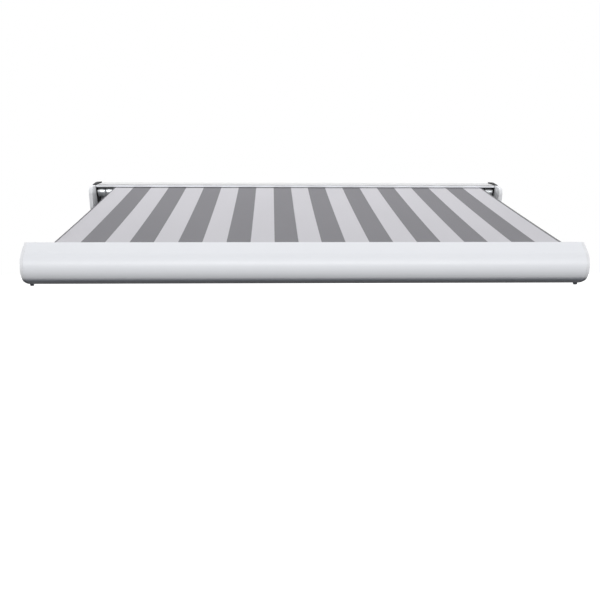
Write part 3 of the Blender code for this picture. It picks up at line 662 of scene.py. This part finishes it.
def close_tree(tree, geometry, finish):
    """End a tree the same way each time: real geometry with its finish."""
    real = tree.node("GeometryNodeRealizeInstances", values={"Geometry": geometry})
    dressed = tree.node("GeometryNodeSetMaterial", values={"Geometry": real, "Material": finish})
    end = tree.tree.nodes.new("NodeGroupOutput")
    tree.feed(end.inputs[0], dressed)


def grow(name, tree, values, mesh=None):
    """Run a tree with these inputs on a mesh or on nothing, and keep the plain mesh it makes."""
    piece = stand(name, mesh or bpy.data.meshes.new(name))
    modifier = piece.modifiers.new("grow", "NODES")
    modifier.node_group = tree.tree
    items = tree.tree.interface.items_tree
    sockets = {item.name: item.identifier for item in items if item.in_out == "INPUT"}
    for label, value in values.items():
        modifier[sockets[label]] = value
    made = evaluated_mesh(piece)
    piece.modifiers.clear()
    piece.data = made
    made.name = name
    print(name, "faces:", len(made.polygons))
    return piece


# %% [markdown]
# ## How the cloth hangs
# The belly is deepest in the middle of the cloth, and two waves across it stand for the
# slack between the seams. A cloth simulation could find such a shape, but it is slow and
# hard to repeat, and a tight cloth moves by only a few millimetres. A formula does it.

# %% The shape of a tight cloth
SAG = 0.007
HEM = 0.016
HEM_RISE = 0.0007
SEAM = 0.012
CLOTH_SKIN = CLOTH * 0.8
RIPPLE_SLOW = 31.0
RIPPLE_FAST = 83.0
RIPPLE_SHARE = 0.45
CLOTH_MESH = {"Vertices X": 347, "Vertices Y": 121}
CLOTH_TUCK = 0.002
CLOTH_START = ROLLER_U + CLOTH_TUCK
CLOTH_END = BAR_U + TRAVEL + KEDER_U - KEDER_RADIUS - SEAT
CLOTH_LONG = CLOTH_END - CLOTH_START


def cloth_height(x, u, sag):
    """How far the cloth is above its straight line: a belly and two slight ripples."""
    run = (u - CLOTH_START) / CLOTH_LONG
    width = (x - CLOTH_LOW) / CLOTH_WIDTH
    belly = run * (1 - run) * 4 * (width * (1 - width) * 2 + 0.5)
    slow = (width * RIPPLE_SLOW).sine() * 0.6
    fast = (width * RIPPLE_FAST + run * 1.7).sine() * 0.4
    return (belly + (slow + fast) * run * (1 - run) * RIPPLE_SHARE) * sag * -1


def leaned(u, w):
    """The y and z of a place on the leaned cassette, for sockets."""
    du, dw = u + HINGE.y, w - HINGE.z
    y = (du * cos(PITCH) + dw * sin(PITCH)) * -1 + HINGE_PLACE.y
    return y, dw * cos(PITCH) - du * sin(PITCH) + HINGE_PLACE.z


print("cloth:", round(CLOTH_LONG, 3), "m long, sag", SAG * 1000, "mm")

# %% [markdown]
# ## The cover itself
# A fine grid takes the shape, and a thickness makes closed cloth of it. When the awning
# closes, the real cover winds onto the roller. The model can't wind a mesh; the cover
# and everything sewn to it are carried by the cassette.


# %% Stretch the cloth
def cloth_tree():
    """A grid in x and u, sagged, with its hems and seam raised, then leaned to its pitch."""
    tree, given = geometry_tree("tight_cloth", {
        "Width": ("NodeSocketFloat", CLOTH_WIDTH),
        "Length": ("NodeSocketFloat", CLOTH_LONG),
        "Sag": ("NodeSocketFloat", SAG),
        "Hem": ("NodeSocketFloat", HEM),
        "Hem rise": ("NodeSocketFloat", HEM_RISE),
        "Finish": ("NodeSocketMaterial", None),
    })
    sizes = {"Size X": given["Width"], "Size Y": given["Length"], **CLOTH_MESH}
    grid = tree.node("GeometryNodeMeshGrid", values=sizes)
    x, y, z = tree.split(tree.node("GeometryNodeInputPosition"))
    x = x + CLOTH_SHIFT
    u = y * -1 + (CLOTH_START + CLOTH_LONG / 2)
    edge = (x - CLOTH_SHIFT).size() * -1 + given["Width"] / 2
    raised = ((edge < given["Hem"]) + ((x - SEAM_X).size() < SEAM / 2)) * given["Hem rise"]
    w = cloth_height(x, u, given["Sag"]) + raised + CLOTH_W
    moved = tree.node("GeometryNodeSetPosition", values={
        "Geometry": grid, "Position": tree.join(x, *leaned(u, w)),
    })
    close_tree(tree, moved, given["Finish"])
    return tree


SLOPE = (BODIES["cassette"].to_3x3() @ Vector((0, -1, 0))).normalized()
CLOSED_LONG = BAR_U + KEDER_U - KEDER_RADIUS - SEAT - CLOTH_START
KEEP = CLOSED_LONG / CLOTH_LONG
ROLL_OFF = at("cassette", 0, CLOTH_START, CLOTH_W)


def roll_away(piece):
    """A piece on the cloth, carried by the cassette on a mesh of its own."""
    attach(piece, "cassette")
    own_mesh(piece)


def thicken(piece, thickness):
    """Turn a single skin into closed cloth of a real thickness."""
    solid = piece.modifiers.new("thickness", "SOLIDIFY")
    solid.thickness = thickness
    solid.offset = 1.0
    solid.use_quality_normals = True
    made = evaluated_mesh(piece)
    piece.modifiers.clear()
    piece.data = made
    soften(made, 50)


cloth = grow("awning_cloth", cloth_tree(), {"Finish": CLOTH_FINISH})
thicken(cloth, CLOTH_SKIN)
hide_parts("cloth_cover")
roll_away(cloth)
print("left outside the roller when closed:", round(CLOSED_LONG, 3), "m")

# %% [markdown]
# ## The turns left on the roller
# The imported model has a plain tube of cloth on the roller. The real roll shows its last
# turn as a step where the cloth leaves it, and the same stripes. A curve swept along the
# roller could do it, but a ring of corners at each column is as short and needs no curve.

# %% Wind the roll
ROLL_STEPS = 72
ROLL_COLUMNS = 24
ROLL_STEP = 0.0009


def roller_ring(shape, body, x, radii):
    """Corners round the roller's axis at x, one for each radius, from the top on."""
    turns = [pi / 2 - 2 * pi * i / len(radii) for i in range(len(radii))]
    return [
        shape.verts.new(at(body, x, ROLLER_U + radius * cos(turn), ROLLER_W + radius * sin(turn)))
        for turn, radius in zip(turns, radii)
    ]


def wound_roll():
    """A spiral of cloth that starts on the tube and ends where the cover leaves it."""
    shape = bmesh.new()
    columns = [CLOTH_LOW + CLOTH_WIDTH * i / ROLL_COLUMNS for i in range(ROLL_COLUMNS + 1)]
    spiral = [ROLL_RADIUS - ROLL_STEP * i / ROLL_STEPS for i in range(ROLL_STEPS)]
    bore = [TUBE_RADIUS + SEAT] * ROLL_STEPS
    rings = [roller_ring(shape, "roller", x, spiral) for x in columns]
    low, high = [roller_ring(shape, "roller", x, bore) for x in (CLOTH_LOW, CLOTH_HIGH)]
    skin(shape, [low, *rings, high, low])
    roll = piece_from("cloth_on_roller", shape, CLOTH_FINISH, 40)
    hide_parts("cloth_roll")
    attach(roll, "roller")
    print("roll faces:", len(roll.data.polygons))
    return roll


roll = wound_roll()

# %% [markdown]
# ## Stitches
# The hems and the panel seam are each sewn with two rows of thread that is made for the
# weather. Seen from near, a row is a line of short loops, each pressed into the cloth. A
# bump could hint at them, but a tree sets one small loop after another along a line for
# little more, and the cloth's own formula puts them on its surface.

# %% Sew the hems and the seam
STITCH = 0.0075
STITCH_SHOWS = 0.72
THREAD = 0.0007
EDGE_ROW = 0.003
FOLD_ROW = 0.0025
ROWS = [CLOTH_LOW + EDGE_ROW, CLOTH_LOW + HEM - FOLD_ROW]
ROWS += [CLOTH_HIGH - EDGE_ROW, CLOTH_HIGH - HEM + FOLD_ROW]
ROWS += [SEAM_X - SEAM / 2 + FOLD_ROW, SEAM_X + SEAM / 2 - FOLD_ROW]


def stitch_tree():
    """One row of thread loops at a given x, from the roller to the bar."""
    tree, given = geometry_tree("thread_row", {
        "Row": ("NodeSocketFloat", 0.0),
        "Stitch": ("NodeSocketFloat", STITCH),
        "Thread": ("NodeSocketFloat", THREAD),
        "Sag": ("NodeSocketFloat", SAG),
        "Finish": ("NodeSocketMaterial", None),
    })
    count = (given["Stitch"] ** -1) * CLOTH_LONG
    values = {"Count": count, "Start Location": (0.0, 0.0, 0.0)}
    values["Offset"] = tree.join(0.0, given["Stitch"] * -1, 0.0)
    line = tree.node("GeometryNodeMeshLine", {"mode": "OFFSET"}, values)
    loop = tree.node(
        "GeometryNodeMeshUVSphere", values={"Segments": 6, "Rings": 4, "Radius": 0.5}
    )
    long = tree.join(given["Thread"], given["Stitch"] * STITCH_SHOWS, given["Thread"])
    loops = tree.node(
        "GeometryNodeInstanceOnPoints", values={"Points": line, "Instance": loop, "Scale": long}
    )
    real = tree.node("GeometryNodeRealizeInstances", values={"Geometry": loops})
    x, y, z = tree.split(tree.node("GeometryNodeInputPosition"))
    x = x + given["Row"]
    u = y * -1 + (CLOTH_START + STITCH / 2)
    w = z + cloth_height(x, u, given["Sag"]) + (CLOTH_W + HEM_RISE + CLOTH_SKIN)
    moved = tree.node("GeometryNodeSetPosition", values={
        "Geometry": real, "Position": tree.join(x, *leaned(u, w)),
    })
    close_tree(tree, moved, given["Finish"])
    return tree


def join_pieces(name, pieces):
    """Several grown meshes as one piece."""
    shape = bmesh.new()
    for piece in pieces:
        shape.from_mesh(piece.data)
    mesh = bpy.data.meshes.new(name)
    shape.to_mesh(mesh)
    shape.free()
    for material in pieces[0].data.materials:
        mesh.materials.append(material)
    for piece in pieces:
        bpy.data.objects.remove(piece, do_unlink=True)
    mesh.shade_smooth()
    print(name, "faces:", len(mesh.polygons))
    return stand(name, mesh)


THREAD_FINISH = rubber("weatherproof_thread", (0.36, 0.36, 0.37, 1.0), 0.55)
rows = stitch_tree()
stitches = join_pieces("cloth_stitches", [
    grow(f"row_{i}", rows, {"Row": x, "Finish": THREAD_FINISH}) for i, x in enumerate(ROWS)
])
roll_away(stitches)

# %% [markdown]
# ## Bristles under the hood
# A strip of brush under the hood's lip sweeps leaves off the cloth as it winds in. In
# the photo it is the dark line above the cloth. The solid is a plain strip; here it is a
# slim white holder with two rows of tufts that lean a little, each way at random. Hair
# could make them, but tufts from a tree are plain meshes, which any program can read. A
# thin black strip in the groove behind the lip is painted shade, the shadow of the step there.

# %% Plant the bristles
TUFTS_APART = 0.0042
TUFT_RADIUS = 0.0009
TUFT_TIP = 0.55
TUFT_LEAN = 0.12
TUFT_ROWS = ((3, 0.0012), (8, 0.0028))
BRUSH_TOP = TOP_W - LIP_DROP - SEAT
BRUSH_LOW = CLOTH_W + CLOTH + SEAT
TUFT_LONG = (BRUSH_TOP - BRUSH_LOW) * 0.5
HOLDER_DEEP = 0.0038
BRUSH_SHORT = 0.001
HOOD_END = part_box("hood")[1].x - BRUSH_SHORT
# A black strip behind the lip: painted shade of the step between the hood's top and its lip.
SHADE_STRIP_U = (LIP_U - 0.0145, LIP_U - 0.0105)
SHADE_STRIP_W = (TOP_W - 0.0010, TOP_W + 0.0014)
SOFT_EDGE = 0.0005


def brush_tree():
    """Tufts along x, hanging from the holder, each leaned a little at random."""
    tree, given = geometry_tree("brush_row", {
        "Spacing": ("NodeSocketFloat", TUFTS_APART),
        "Radius": ("NodeSocketFloat", TUFT_RADIUS),
        "Length": ("NodeSocketFloat", TUFT_LONG),
        "Lean": ("NodeSocketFloat", TUFT_LEAN),
        "Depth": ("NodeSocketFloat", LIP_U),
        "Seed": ("NodeSocketInt", 7),
        "Finish": ("NodeSocketMaterial", None),
    })
    count = (given["Spacing"] ** -1) * (2 * HOOD_END)
    values = {"Count": count, "Start Location": (-HOOD_END, 0.0, 0.0)}
    values["Offset"] = tree.join(given["Spacing"], 0.0, 0.0)
    line = tree.node("GeometryNodeMeshLine", {"mode": "OFFSET"}, values)
    tuft = tree.node("GeometryNodeMeshCone", values={
        "Vertices": 5, "Radius Top": given["Radius"] * TUFT_TIP,
        "Radius Bottom": given["Radius"], "Depth": given["Length"],
    })
    low = tree.join(given["Lean"] * -1, given["Lean"] * -1 + pi, 0.0)
    high = tree.join(given["Lean"], given["Lean"] + pi, 3.0)
    spread = tree.node("FunctionNodeRandomValue", {"data_type": "FLOAT_VECTOR"}, {
        "Min": low, "Max": high, "Seed": given["Seed"],
    })
    tufts = tree.node("GeometryNodeInstanceOnPoints", values={
        "Points": line, "Instance": tuft, "Rotation": spread,
    })
    real = tree.node("GeometryNodeRealizeInstances", values={"Geometry": tufts})
    x, y, z = tree.split(tree.node("GeometryNodeInputPosition"))
    u = y * -1 + given["Depth"]
    w = z + (BRUSH_TOP - TUFT_LONG)
    moved = tree.node("GeometryNodeSetPosition", values={
        "Geometry": real, "Position": tree.join(x, *leaned(u, w)),
    })
    close_tree(tree, moved, given["Finish"])
    return tree


def box_piece(name, body, low, high, finish):
    """A bar between two corners given as (x, u, w), with softened edges."""
    shape = bmesh.new()
    bmesh.ops.create_cube(shape, size=1.0)
    middle = [(a + b) / 2 for a, b in zip(low, high)]
    span = [abs(b - a) for a, b in zip(low, high)]
    for vertex in shape.verts:
        vertex.co = Vector([m + c * s for m, c, s in zip(middle, vertex.co, span)])
    bmesh.ops.bevel(
        shape, geom=shape.edges[:], offset=SOFT_EDGE, segments=2, profile=0.5, affect="EDGES"
    )
    for vertex in shape.verts:
        vertex.co = at(body, *vertex.co)
    return piece_from(name, shape, finish)


BRISTLE_FINISH = rubber("brush_bristles", (0.03, 0.03, 0.033, 1.0), 0.7)
tufts = brush_tree()
brush = join_pieces("hood_bristles", [
    grow(f"tufts_{seed}", tufts, {"Depth": LIP_U - depth, "Seed": seed, "Finish": BRISTLE_FINISH})
    for seed, depth in TUFT_ROWS
])
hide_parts("hood_brush")
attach(brush, "cassette")
holder = box_piece(
    "brush_holder", "cassette", (-HOOD_END, LIP_U - HOLDER_DEEP, BRUSH_TOP - TUFT_LONG),
    (HOOD_END, LIP_U, BRUSH_TOP + SEAT), FINISHES["powder_coat"],
)
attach(holder, "cassette")
# The black strip behind the lip is painted shade.
shade_strip = box_piece(
    "lip_bead", "cassette", (-HOOD_END, SHADE_STRIP_U[0], SHADE_STRIP_W[0]), (HOOD_END, SHADE_STRIP_U[1], SHADE_STRIP_W[1]),
    FINISHES["seal"],
)
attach(shade_strip, "cassette")

# %% [markdown]
# ## Seals and bearing covers at the cassette's ends
# The solid of each end seal is a full plate. The real one is a rubber rim that leaves the
# cap's inside open, with a fin that stands up over the hood's end. It could be drawn anew,
# but a boolean cuts the window in a copy of the solid, so the outside stays exactly right.
# The fin is a short wedge.

# %% Open the seals
RIM = 0.005
WINDOW_X = (1.49, 1.5038)
FIN_FOOT = 0.0006
FIN_FRONT = LIP_U - 0.012
FIN_BACK = BACK_U + 0.032
FIN = [
    (1.5265, FIN_FRONT, 0.0045), (1.5030, FIN_FRONT, 0.0045),
    (1.4800, FIN_BACK, 0.0085), (1.5180, FIN_BACK, 0.0065),
]


def add_fin(shape, sign):
    """A wedge on the seal that rises to the back and leans over the hood's end."""
    base, top = [
        [shape.verts.new(at("cassette", sign * x, u, TOP_W + (high if raised else FIN_FOOT)))
         for x, u, high in FIN]
        for raised in (False, True)
    ]
    skin(shape, [base, top])
    shape.faces.new(base)
    shape.faces.new(top)


def open_seal(side, sign):
    """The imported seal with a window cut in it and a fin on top."""
    node = f"end_gasket_{side}"
    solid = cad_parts[node]
    mesh = solid.data.copy()
    mesh.transform(solid.matrix_world)
    seal = stand(f"rim_seal_{side}", mesh)
    near, far = WINDOW_X
    cutter = box_piece(
        "window", "cassette", (sign * near, BACK_U + RIM, TOP_W - BAR_HIGH + 3 * RIM),
        (sign * far, LIP_U - RIM, TOP_W - RIM), FINISHES["seal"],
    )
    window = seal.modifiers.new("window", "BOOLEAN")
    window.operation = "DIFFERENCE"
    window.solver = "EXACT"
    window.object = cutter
    cut = evaluated_mesh(seal)
    seal.modifiers.remove(window)
    bpy.data.objects.remove(cutter, do_unlink=True)
    shape = bmesh.new()
    shape.from_mesh(cut)
    add_fin(shape, sign)
    bmesh.ops.recalc_face_normals(shape, faces=shape.faces)
    shape.to_mesh(cut)
    shape.free()
    cut.materials.clear()
    cut.materials.append(FINISHES["seal"])
    cut.shade_flat()
    seal.data = cut
    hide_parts(node)
    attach(seal, "cassette")
    print(seal.name, "faces:", len(cut.polygons))


print("fin corners:", len(FIN))

# %% [markdown]
# ## Bearing covers
# Between each roller plate and the end cap, a bright cover goes round the roller's
# journal. It is the light band beside the cloth. It is a turned ring, so its profile is
# spun round the roller's axis, with the same rings as the roll.

# %% Turn the covers
COVER_OUTER = 0.0375
COVER_INNER = 0.0300
COVER_EDGE = 0.001
COVER_SIDES = 48
COVER_START = CLOTH_WIDTH / 2 + ROLLER_OVERHANG + ROLLER_GAP + ROLLER_PLATE + SEAT
COVER_END = 1.4998


def bearing_cover(side, sign):
    """A short thick ring round the roller's journal."""
    shape = bmesh.new()
    start, end, edge = COVER_START, COVER_END, COVER_OUTER - COVER_EDGE
    profile = [(start, COVER_INNER), (start, edge), (start + COVER_EDGE, COVER_OUTER)]
    profile += [(end - COVER_EDGE, COVER_OUTER), (end, edge), (end, COVER_INNER)]
    rings = [
        roller_ring(shape, "cassette", sign * x, [radius] * COVER_SIDES) for x, radius in profile
    ]
    skin(shape, rings + rings[:1])
    cover = piece_from(f"bearing_cover_{side}", shape, FINISHES["galvanised"], 40)
    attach(cover, "cassette")


for side, sign in SIDES:
    open_seal(side, sign)
    bearing_cover(side, sign)
print("bearing covers:", round((COVER_END - COVER_START) * 1000, 1), "mm wide")

# %% [markdown]
# ## Screws
# Screws hold the end caps, the arm brackets, the carriers and the tubes on their castings,
# and close both ends of each pin. One head is a short profile spun round, as on a lathe.
# Copies could be placed one by one, but a tree stands one on each marked point and turns
# it to face along that point's own direction.

# %% Turn one screw head
HEAD = [
    (0.0, 0.16), (0.42, 0.16), (0.46, 0.52), (0.72, 0.52), (0.95, 0.34), (1.0, -0.15), (0.0, -0.15),
]
HEAD_SIDES = 12


def screw_head():
    """A pan head of radius 1 with a round driver socket, standing on z = 0."""
    shape = bmesh.new()
    turns = [2 * pi * i / HEAD_SIDES for i in range(HEAD_SIDES)]
    rings = []
    for radius, height in HEAD:
        if radius == 0.0:
            rings.append([shape.verts.new((0, 0, height))] * HEAD_SIDES)
            continue
        around = [(radius * cos(turn), radius * sin(turn), height) for turn in turns]
        rings.append([shape.verts.new(corner) for corner in around])
    skin(shape, rings)
    return piece_from("screw_head", shape)


def screw_tree():
    """A copy of the head on each point, scaled by and turned to the point's attributes."""
    tree, given = geometry_tree("screws", {
        "Geometry": ("NodeSocketGeometry", None),
        "Head": ("NodeSocketObject", None),
        "Finish": ("NodeSocketMaterial", None),
    })
    head = tree.node("GeometryNodeObjectInfo", values={"Object": given["Head"]}, out="Geometry")
    attribute = "GeometryNodeInputNamedAttribute"
    facing = tree.node(attribute, {"data_type": "FLOAT_VECTOR"}, {"Name": "facing"})
    radius = tree.node(attribute, {"data_type": "FLOAT"}, {"Name": "radius"})
    turned = tree.node("FunctionNodeAlignRotationToVector", {"axis": "Z"}, {"Vector": facing})
    copies = tree.node("GeometryNodeInstanceOnPoints", values={
        "Points": given["Geometry"], "Instance": head, "Rotation": turned, "Scale": radius,
    })
    close_tree(tree, copies, given["Finish"])
    return tree


print("screw head:", len(HEAD), "steps,", HEAD_SIDES, "sides")

# %% [markdown]
# ## Where the screws go
# The spots are listed for one side and mirrored. They are kept apart by body and finish,
# because a screw has to move with the part that it holds: each group becomes one piece.

# %% Mark and place the screws
BAR_CAP_SPOTS = [(BAR_U + 0.022, 0.084), (BAR_U + 0.094, 0.0), (BAR_U + 0.004, -0.098)]
CAP_SPOTS = [(-0.080, 0.092), (-0.080, -0.100), (0.122, 0.078), (0.098, -0.062)]
ARM_BRACKET_SPOTS = [(-0.024, -0.031, -0.098), (0.024, -0.031, -0.098)]
CARRIER_SPOTS = [(x, w) for x in (-0.030, 0.030) for w in (-0.092, 0.030)]
PIN_TOP = TONGUE_HALF + SEAT + EAR + SEAT + PIN_HEAD
TUBE_SCREW = CASTING + 0.015
RADII = {
    "cap": 0.0055, "bar_cap": 0.005, "arm_bracket": 0.0065, "pin": 0.006, "tube": 0.0045,
    "carrier": 0.0055,
}
OUT, IN, UP, DOWN = (0, 1, 0), (0, -1, 0), (0, 0, 1), (0, 0, -1)


def mark_screws():
    """Every screw as (body, finish) to a list of (place, facing, radius)."""
    spots = {}

    def mark(body, finish, place, facing, radius):
        turn = BODIES[body].to_3x3() @ Vector((facing[0], -facing[1], facing[2]))
        spots.setdefault((body, finish), []).append((at(body, *place), turn, radius))

    for side, sign in SIDES:
        for u, w in CAP_SPOTS:
            mark("cassette", "cap", (sign * CASSETTE_HALF, u, w), (sign, 0, 0), RADII["cap"])
        for u, w in BAR_CAP_SPOTS:
            mark("front_bar", "cap", (sign * BAR_HALF, u, w), (sign, 0, 0), RADII["bar_cap"])
        shoulder, elbow = sign * SHOULDER_X, sign * (SHOULDER_X - ARM_REACH)
        upper, fore = f"upper_arm_{side}", f"forearm_{side}"
        for x, u, w in ARM_BRACKET_SPOTS:
            mark("cassette", "steel", (shoulder + x, u, w), OUT, RADII["arm_bracket"])
        pins = (("cassette", shoulder, 0), (upper, elbow, 1), ("front_bar", shoulder, 2))
        for body, x, step in pins:
            for facing in (UP, DOWN):
                place = (x, step * ARM_OFFSET, ARM_W + facing[2] * PIN_TOP)
                mark(body, "steel", place, facing, RADII["pin"])
        for body, step in ((upper, 0), (fore, 2)):
            for pivot, toward in ((shoulder, -sign), (elbow, sign)):
                for facing in (UP, DOWN):
                    x = pivot + toward * TUBE_SCREW
                    place = (x, step * ARM_OFFSET, ARM_W + facing[2] * ARM_HIGH / 2)
                    mark(body, "steel", place, facing, RADII["tube"])
    for middle in BRACKETS_X:
        for x, w in CARRIER_SPOTS:
            place = (middle + x, BACK_U - SEAT - CARRIER, w)
            mark("cassette", "steel", place, IN, RADII["carrier"])
    return spots


def place_screws():
    """Grow the screws of each body and finish as one piece."""
    head = screw_head()
    tree = screw_tree()
    for (body, finish), marks in mark_screws().items():
        name = f"{finish}_screws_{body}"
        mesh = bpy.data.meshes.new(name)
        mesh.from_pydata([place for place, _, _ in marks], [], [])
        mesh.attributes.new("facing", "FLOAT_VECTOR", "POINT")
        mesh.attributes.new("radius", "FLOAT", "POINT")
        turns = [value for _, turn, _ in marks for value in turn]
        mesh.attributes["facing"].data.foreach_set("vector", turns)
        mesh.attributes["radius"].data.foreach_set("value", [size for _, _, size in marks])
        piece = grow(name, tree, {"Head": head, "Finish": FINISHES[finish]}, mesh)
        soften(piece.data, 35)
        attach(piece, body)
    bpy.data.objects.remove(head, do_unlink=True)


place_screws()

# %% [markdown]
# ## The pull belts
# A spring inside each forearm pulls the elbow open through a belt that wraps the joint.
# The belt is a flat band of five cords. It lies on the round tongue, wrapped to the
# elbow's present angle, from the upper arm round to the forearm.

# %% Wrap the belts
BELT_RADIUS = TONGUE_RADIUS + SEAT + BELT_THICK / 2
BELT_RUN = NECK - SEAT
BELT_HALF = BELT_HIGH / 2
BELT_INSIDE = -0.0009
BELT_CORDS = 5
CORD_STEPS = 6
CORD_FOOT = 0.0002
CORD_ROUND = 0.0008
BELT_STEPS = 28
RUN_STEPS = 4


def cord_height(place):
    """How far the band's outside stands out, at a place counted in cords."""
    return CORD_FOOT + CORD_ROUND * abs(sin(pi * place))


def belt_section():
    """Points across the band as (outwards, w): a flat inside and five round cords outside."""
    places = [i / CORD_STEPS for i in range(BELT_CORDS * CORD_STEPS + 1)]
    outer = [(cord_height(place), BELT_HALF * (2 * place / BELT_CORDS - 1)) for place in places]
    return outer + [(BELT_INSIDE, BELT_HALF), (BELT_INSIDE, -BELT_HALF)]


def belt_line(sign):
    """The middle of the band on the open arm as (place, outward), in x and u."""
    x, u = SHOULDER_X - ARM_REACH, ARM_OFFSET
    wrap = pi - 2 * OPENING
    runs = [BELT_RUN * (1 - i / RUN_STEPS) for i in range(RUN_STEPS)]
    line = [((x + run, u - BELT_RADIUS), (0.0, -1.0)) for run in runs]
    for i in range(BELT_STEPS + 1):
        turn = -pi / 2 - wrap * i / BELT_STEPS
        out = (cos(turn), sin(turn))
        line.append(((x + BELT_RADIUS * out[0], u + BELT_RADIUS * out[1]), out))
    (end_x, end_u), out = line[-1]
    along = (cos(2 * OPENING), sin(2 * OPENING))
    for run in reversed(runs):
        line.append(((end_x + run * along[0], end_u + run * along[1]), out))
    return [((sign * px, pu), (sign * ox, ou)) for (px, pu), (ox, ou) in line]


def make_belt(side, sign):
    """Sweep the section along the line and close both ends."""
    body = f"upper_arm_{side}"
    shape = bmesh.new()
    rings = []
    section = belt_section()
    line = belt_line(sign)
    for (x, u), (out_x, out_u) in line:
        rings.append([
            shape.verts.new(at(body, x + out * out_x, u + out * out_u, ARM_W + w))
            for out, w in section
        ])
    skin(shape, rings)
    shape.faces.new(rings[0])
    shape.faces.new(rings[-1])
    belt = piece_from(f"pull_belt_{side}", shape, FINISHES["black_plastic"], 50)
    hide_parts(f"elbow_belt_{side}")
    first, last = line[RUN_STEPS - 1][0], line[-RUN_STEPS - 1][0]
    start, end = at(body, *first, ARM_W), at(body, *last, ARM_W)
    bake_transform(belt)
    print(belt.name, "faces:", len(belt.data.polygons))


for side, sign in SIDES:
    make_belt(side, sign)

# %% [markdown]
# ## Lamps
# The photo was lit from above in a white room: the top of the bar and the cloth are
# bright, and everything that faces down is nearly black. One hard lamp would throw edges
# that the photo doesn't have, so four wide panels light the awning: one far in front, one
# above and behind, and one on each side.

# %% Hang the panels
PANELS = {
    "back_panel": ((0.0, 1.6, 4.4), (8.0, 3.0), 200.0, (0.0, -0.9, -0.2)),
    "front_panel": ((0.3, -16.0, 3.6), (14.0, 2.8), 1830.0, (0.0, -1.9, -0.4)),
    "left_panel": ((-14.0, -1.0, 1.6), (8.0, 6.0), 1000.0, (0.0, -1.0, -0.2)),
    "right_panel": ((14.0, -1.0, 1.6), (8.0, 6.0), 1000.0, (0.0, -1.0, -0.2)),
}


def panel(name, place, size, watts, target):
    """A rectangular area light that looks at a point."""
    data = bpy.data.lights.new(name, "AREA")
    data.shape = "RECTANGLE"
    data.size, data.size_y = size
    data.energy = watts
    lamp = stand(name, data)
    lamp.location = place
    direction = Vector(target) - Vector(place)
    lamp.rotation_euler = direction.to_track_quat("-Z", "Y").to_euler()


for name, settings in PANELS.items():
    panel(name, *settings)
print("panels:", ", ".join(PANELS))

# %% [markdown]
# ## Room and floor
# The undersides are so dark in the photo because little light comes back from the floor.
# A darker floor would show, so the floor and the room are white to the camera and dim to
# the light that spreads from them; the floor is faint in mirrors as well. The floor still
# takes light and shade. It glows more far out, where the panels hardly reach it.

# %% Make the room and the floor
FLOOR_Z = -2.45
FLOOR_SIZE = 60.0
FLOOR_BOUNCE = 0.10
IN_MIRRORS = 0.12
GLOW_NEAR = 0.52
GLOW_REACH = 7.0
ROOM_LIGHT = 0.20


def seen_directly(tree, in_mirrors=1.0):
    """1 for rays from the camera or through glass, in_mirrors for reflections, 0 for the rest."""
    path = tree.tree.nodes.new("ShaderNodeLightPath")
    seen = Socket(tree, path.outputs["Is Camera Ray"])
    seen = seen.maths("MAXIMUM", Socket(tree, path.outputs["Is Glossy Ray"]) * in_mirrors)
    return seen.maths("MAXIMUM", Socket(tree, path.outputs["Is Transmission Ray"]))


def make_room():
    """A room that is white to look at and dim as a lamp."""
    world = bpy.data.worlds.new("white_room")
    bpy.context.scene.world = world
    world.use_nodes = True
    tree = Tree(world.node_tree)
    tree.tree.nodes.clear()
    strength = seen_directly(tree) * (1.0 - ROOM_LIGHT) + ROOM_LIGHT
    white = (1.0, 1.0, 1.0, 1.0)
    light = tree.node("ShaderNodeBackground", values={"Color": white, "Strength": strength})
    tree.node("ShaderNodeOutputWorld", values={"Surface": light})


def make_floor():
    """A wide plain floor: pale to the eye, dark to the light that would bounce off it."""
    mesh = bpy.data.meshes.new("studio_floor")
    half = FLOOR_SIZE / 2
    corners = [(-half, -half), (half, -half), (half, half), (-half, half)]
    mesh.from_pydata([(x, y, FLOOR_Z) for x, y in corners], [], [(0, 1, 2, 3)])
    floor = stand("studio_floor", mesh)
    material = bpy.data.materials.new("pale_floor")
    material.use_nodes = True
    tree = Tree(material.node_tree)
    tree.tree.nodes.clear()
    dark, pale = [
        tree.node("ShaderNodeBsdfDiffuse", values={"Color": (grey, grey, grey, 1.0)})
        for grey in (FLOOR_BOUNCE, 1.0)
    ]
    x, y, _ = tree.split(tree.node("ShaderNodeTexCoord", out="Object"))
    far = ((x * x + y * y) / GLOW_REACH ** 2).maths("MINIMUM", 1.0)
    strength = far * (1.0 - GLOW_NEAR) + GLOW_NEAR
    glow = tree.node("ShaderNodeEmission", values={"Strength": strength})
    lit = tree.node("ShaderNodeAddShader", values={0: pale, 1: glow})
    seen = seen_directly(tree, IN_MIRRORS)
    both = tree.node("ShaderNodeMixShader", values={0: seen, 1: dark, 2: lit})
    tree.node("ShaderNodeOutputMaterial", values={"Surface": both})
    mesh.materials.append(material)


make_room()
make_floor()
bpy.context.scene.view_settings.view_transform = "Standard"
print("studio ready, floor at", FLOOR_Z)
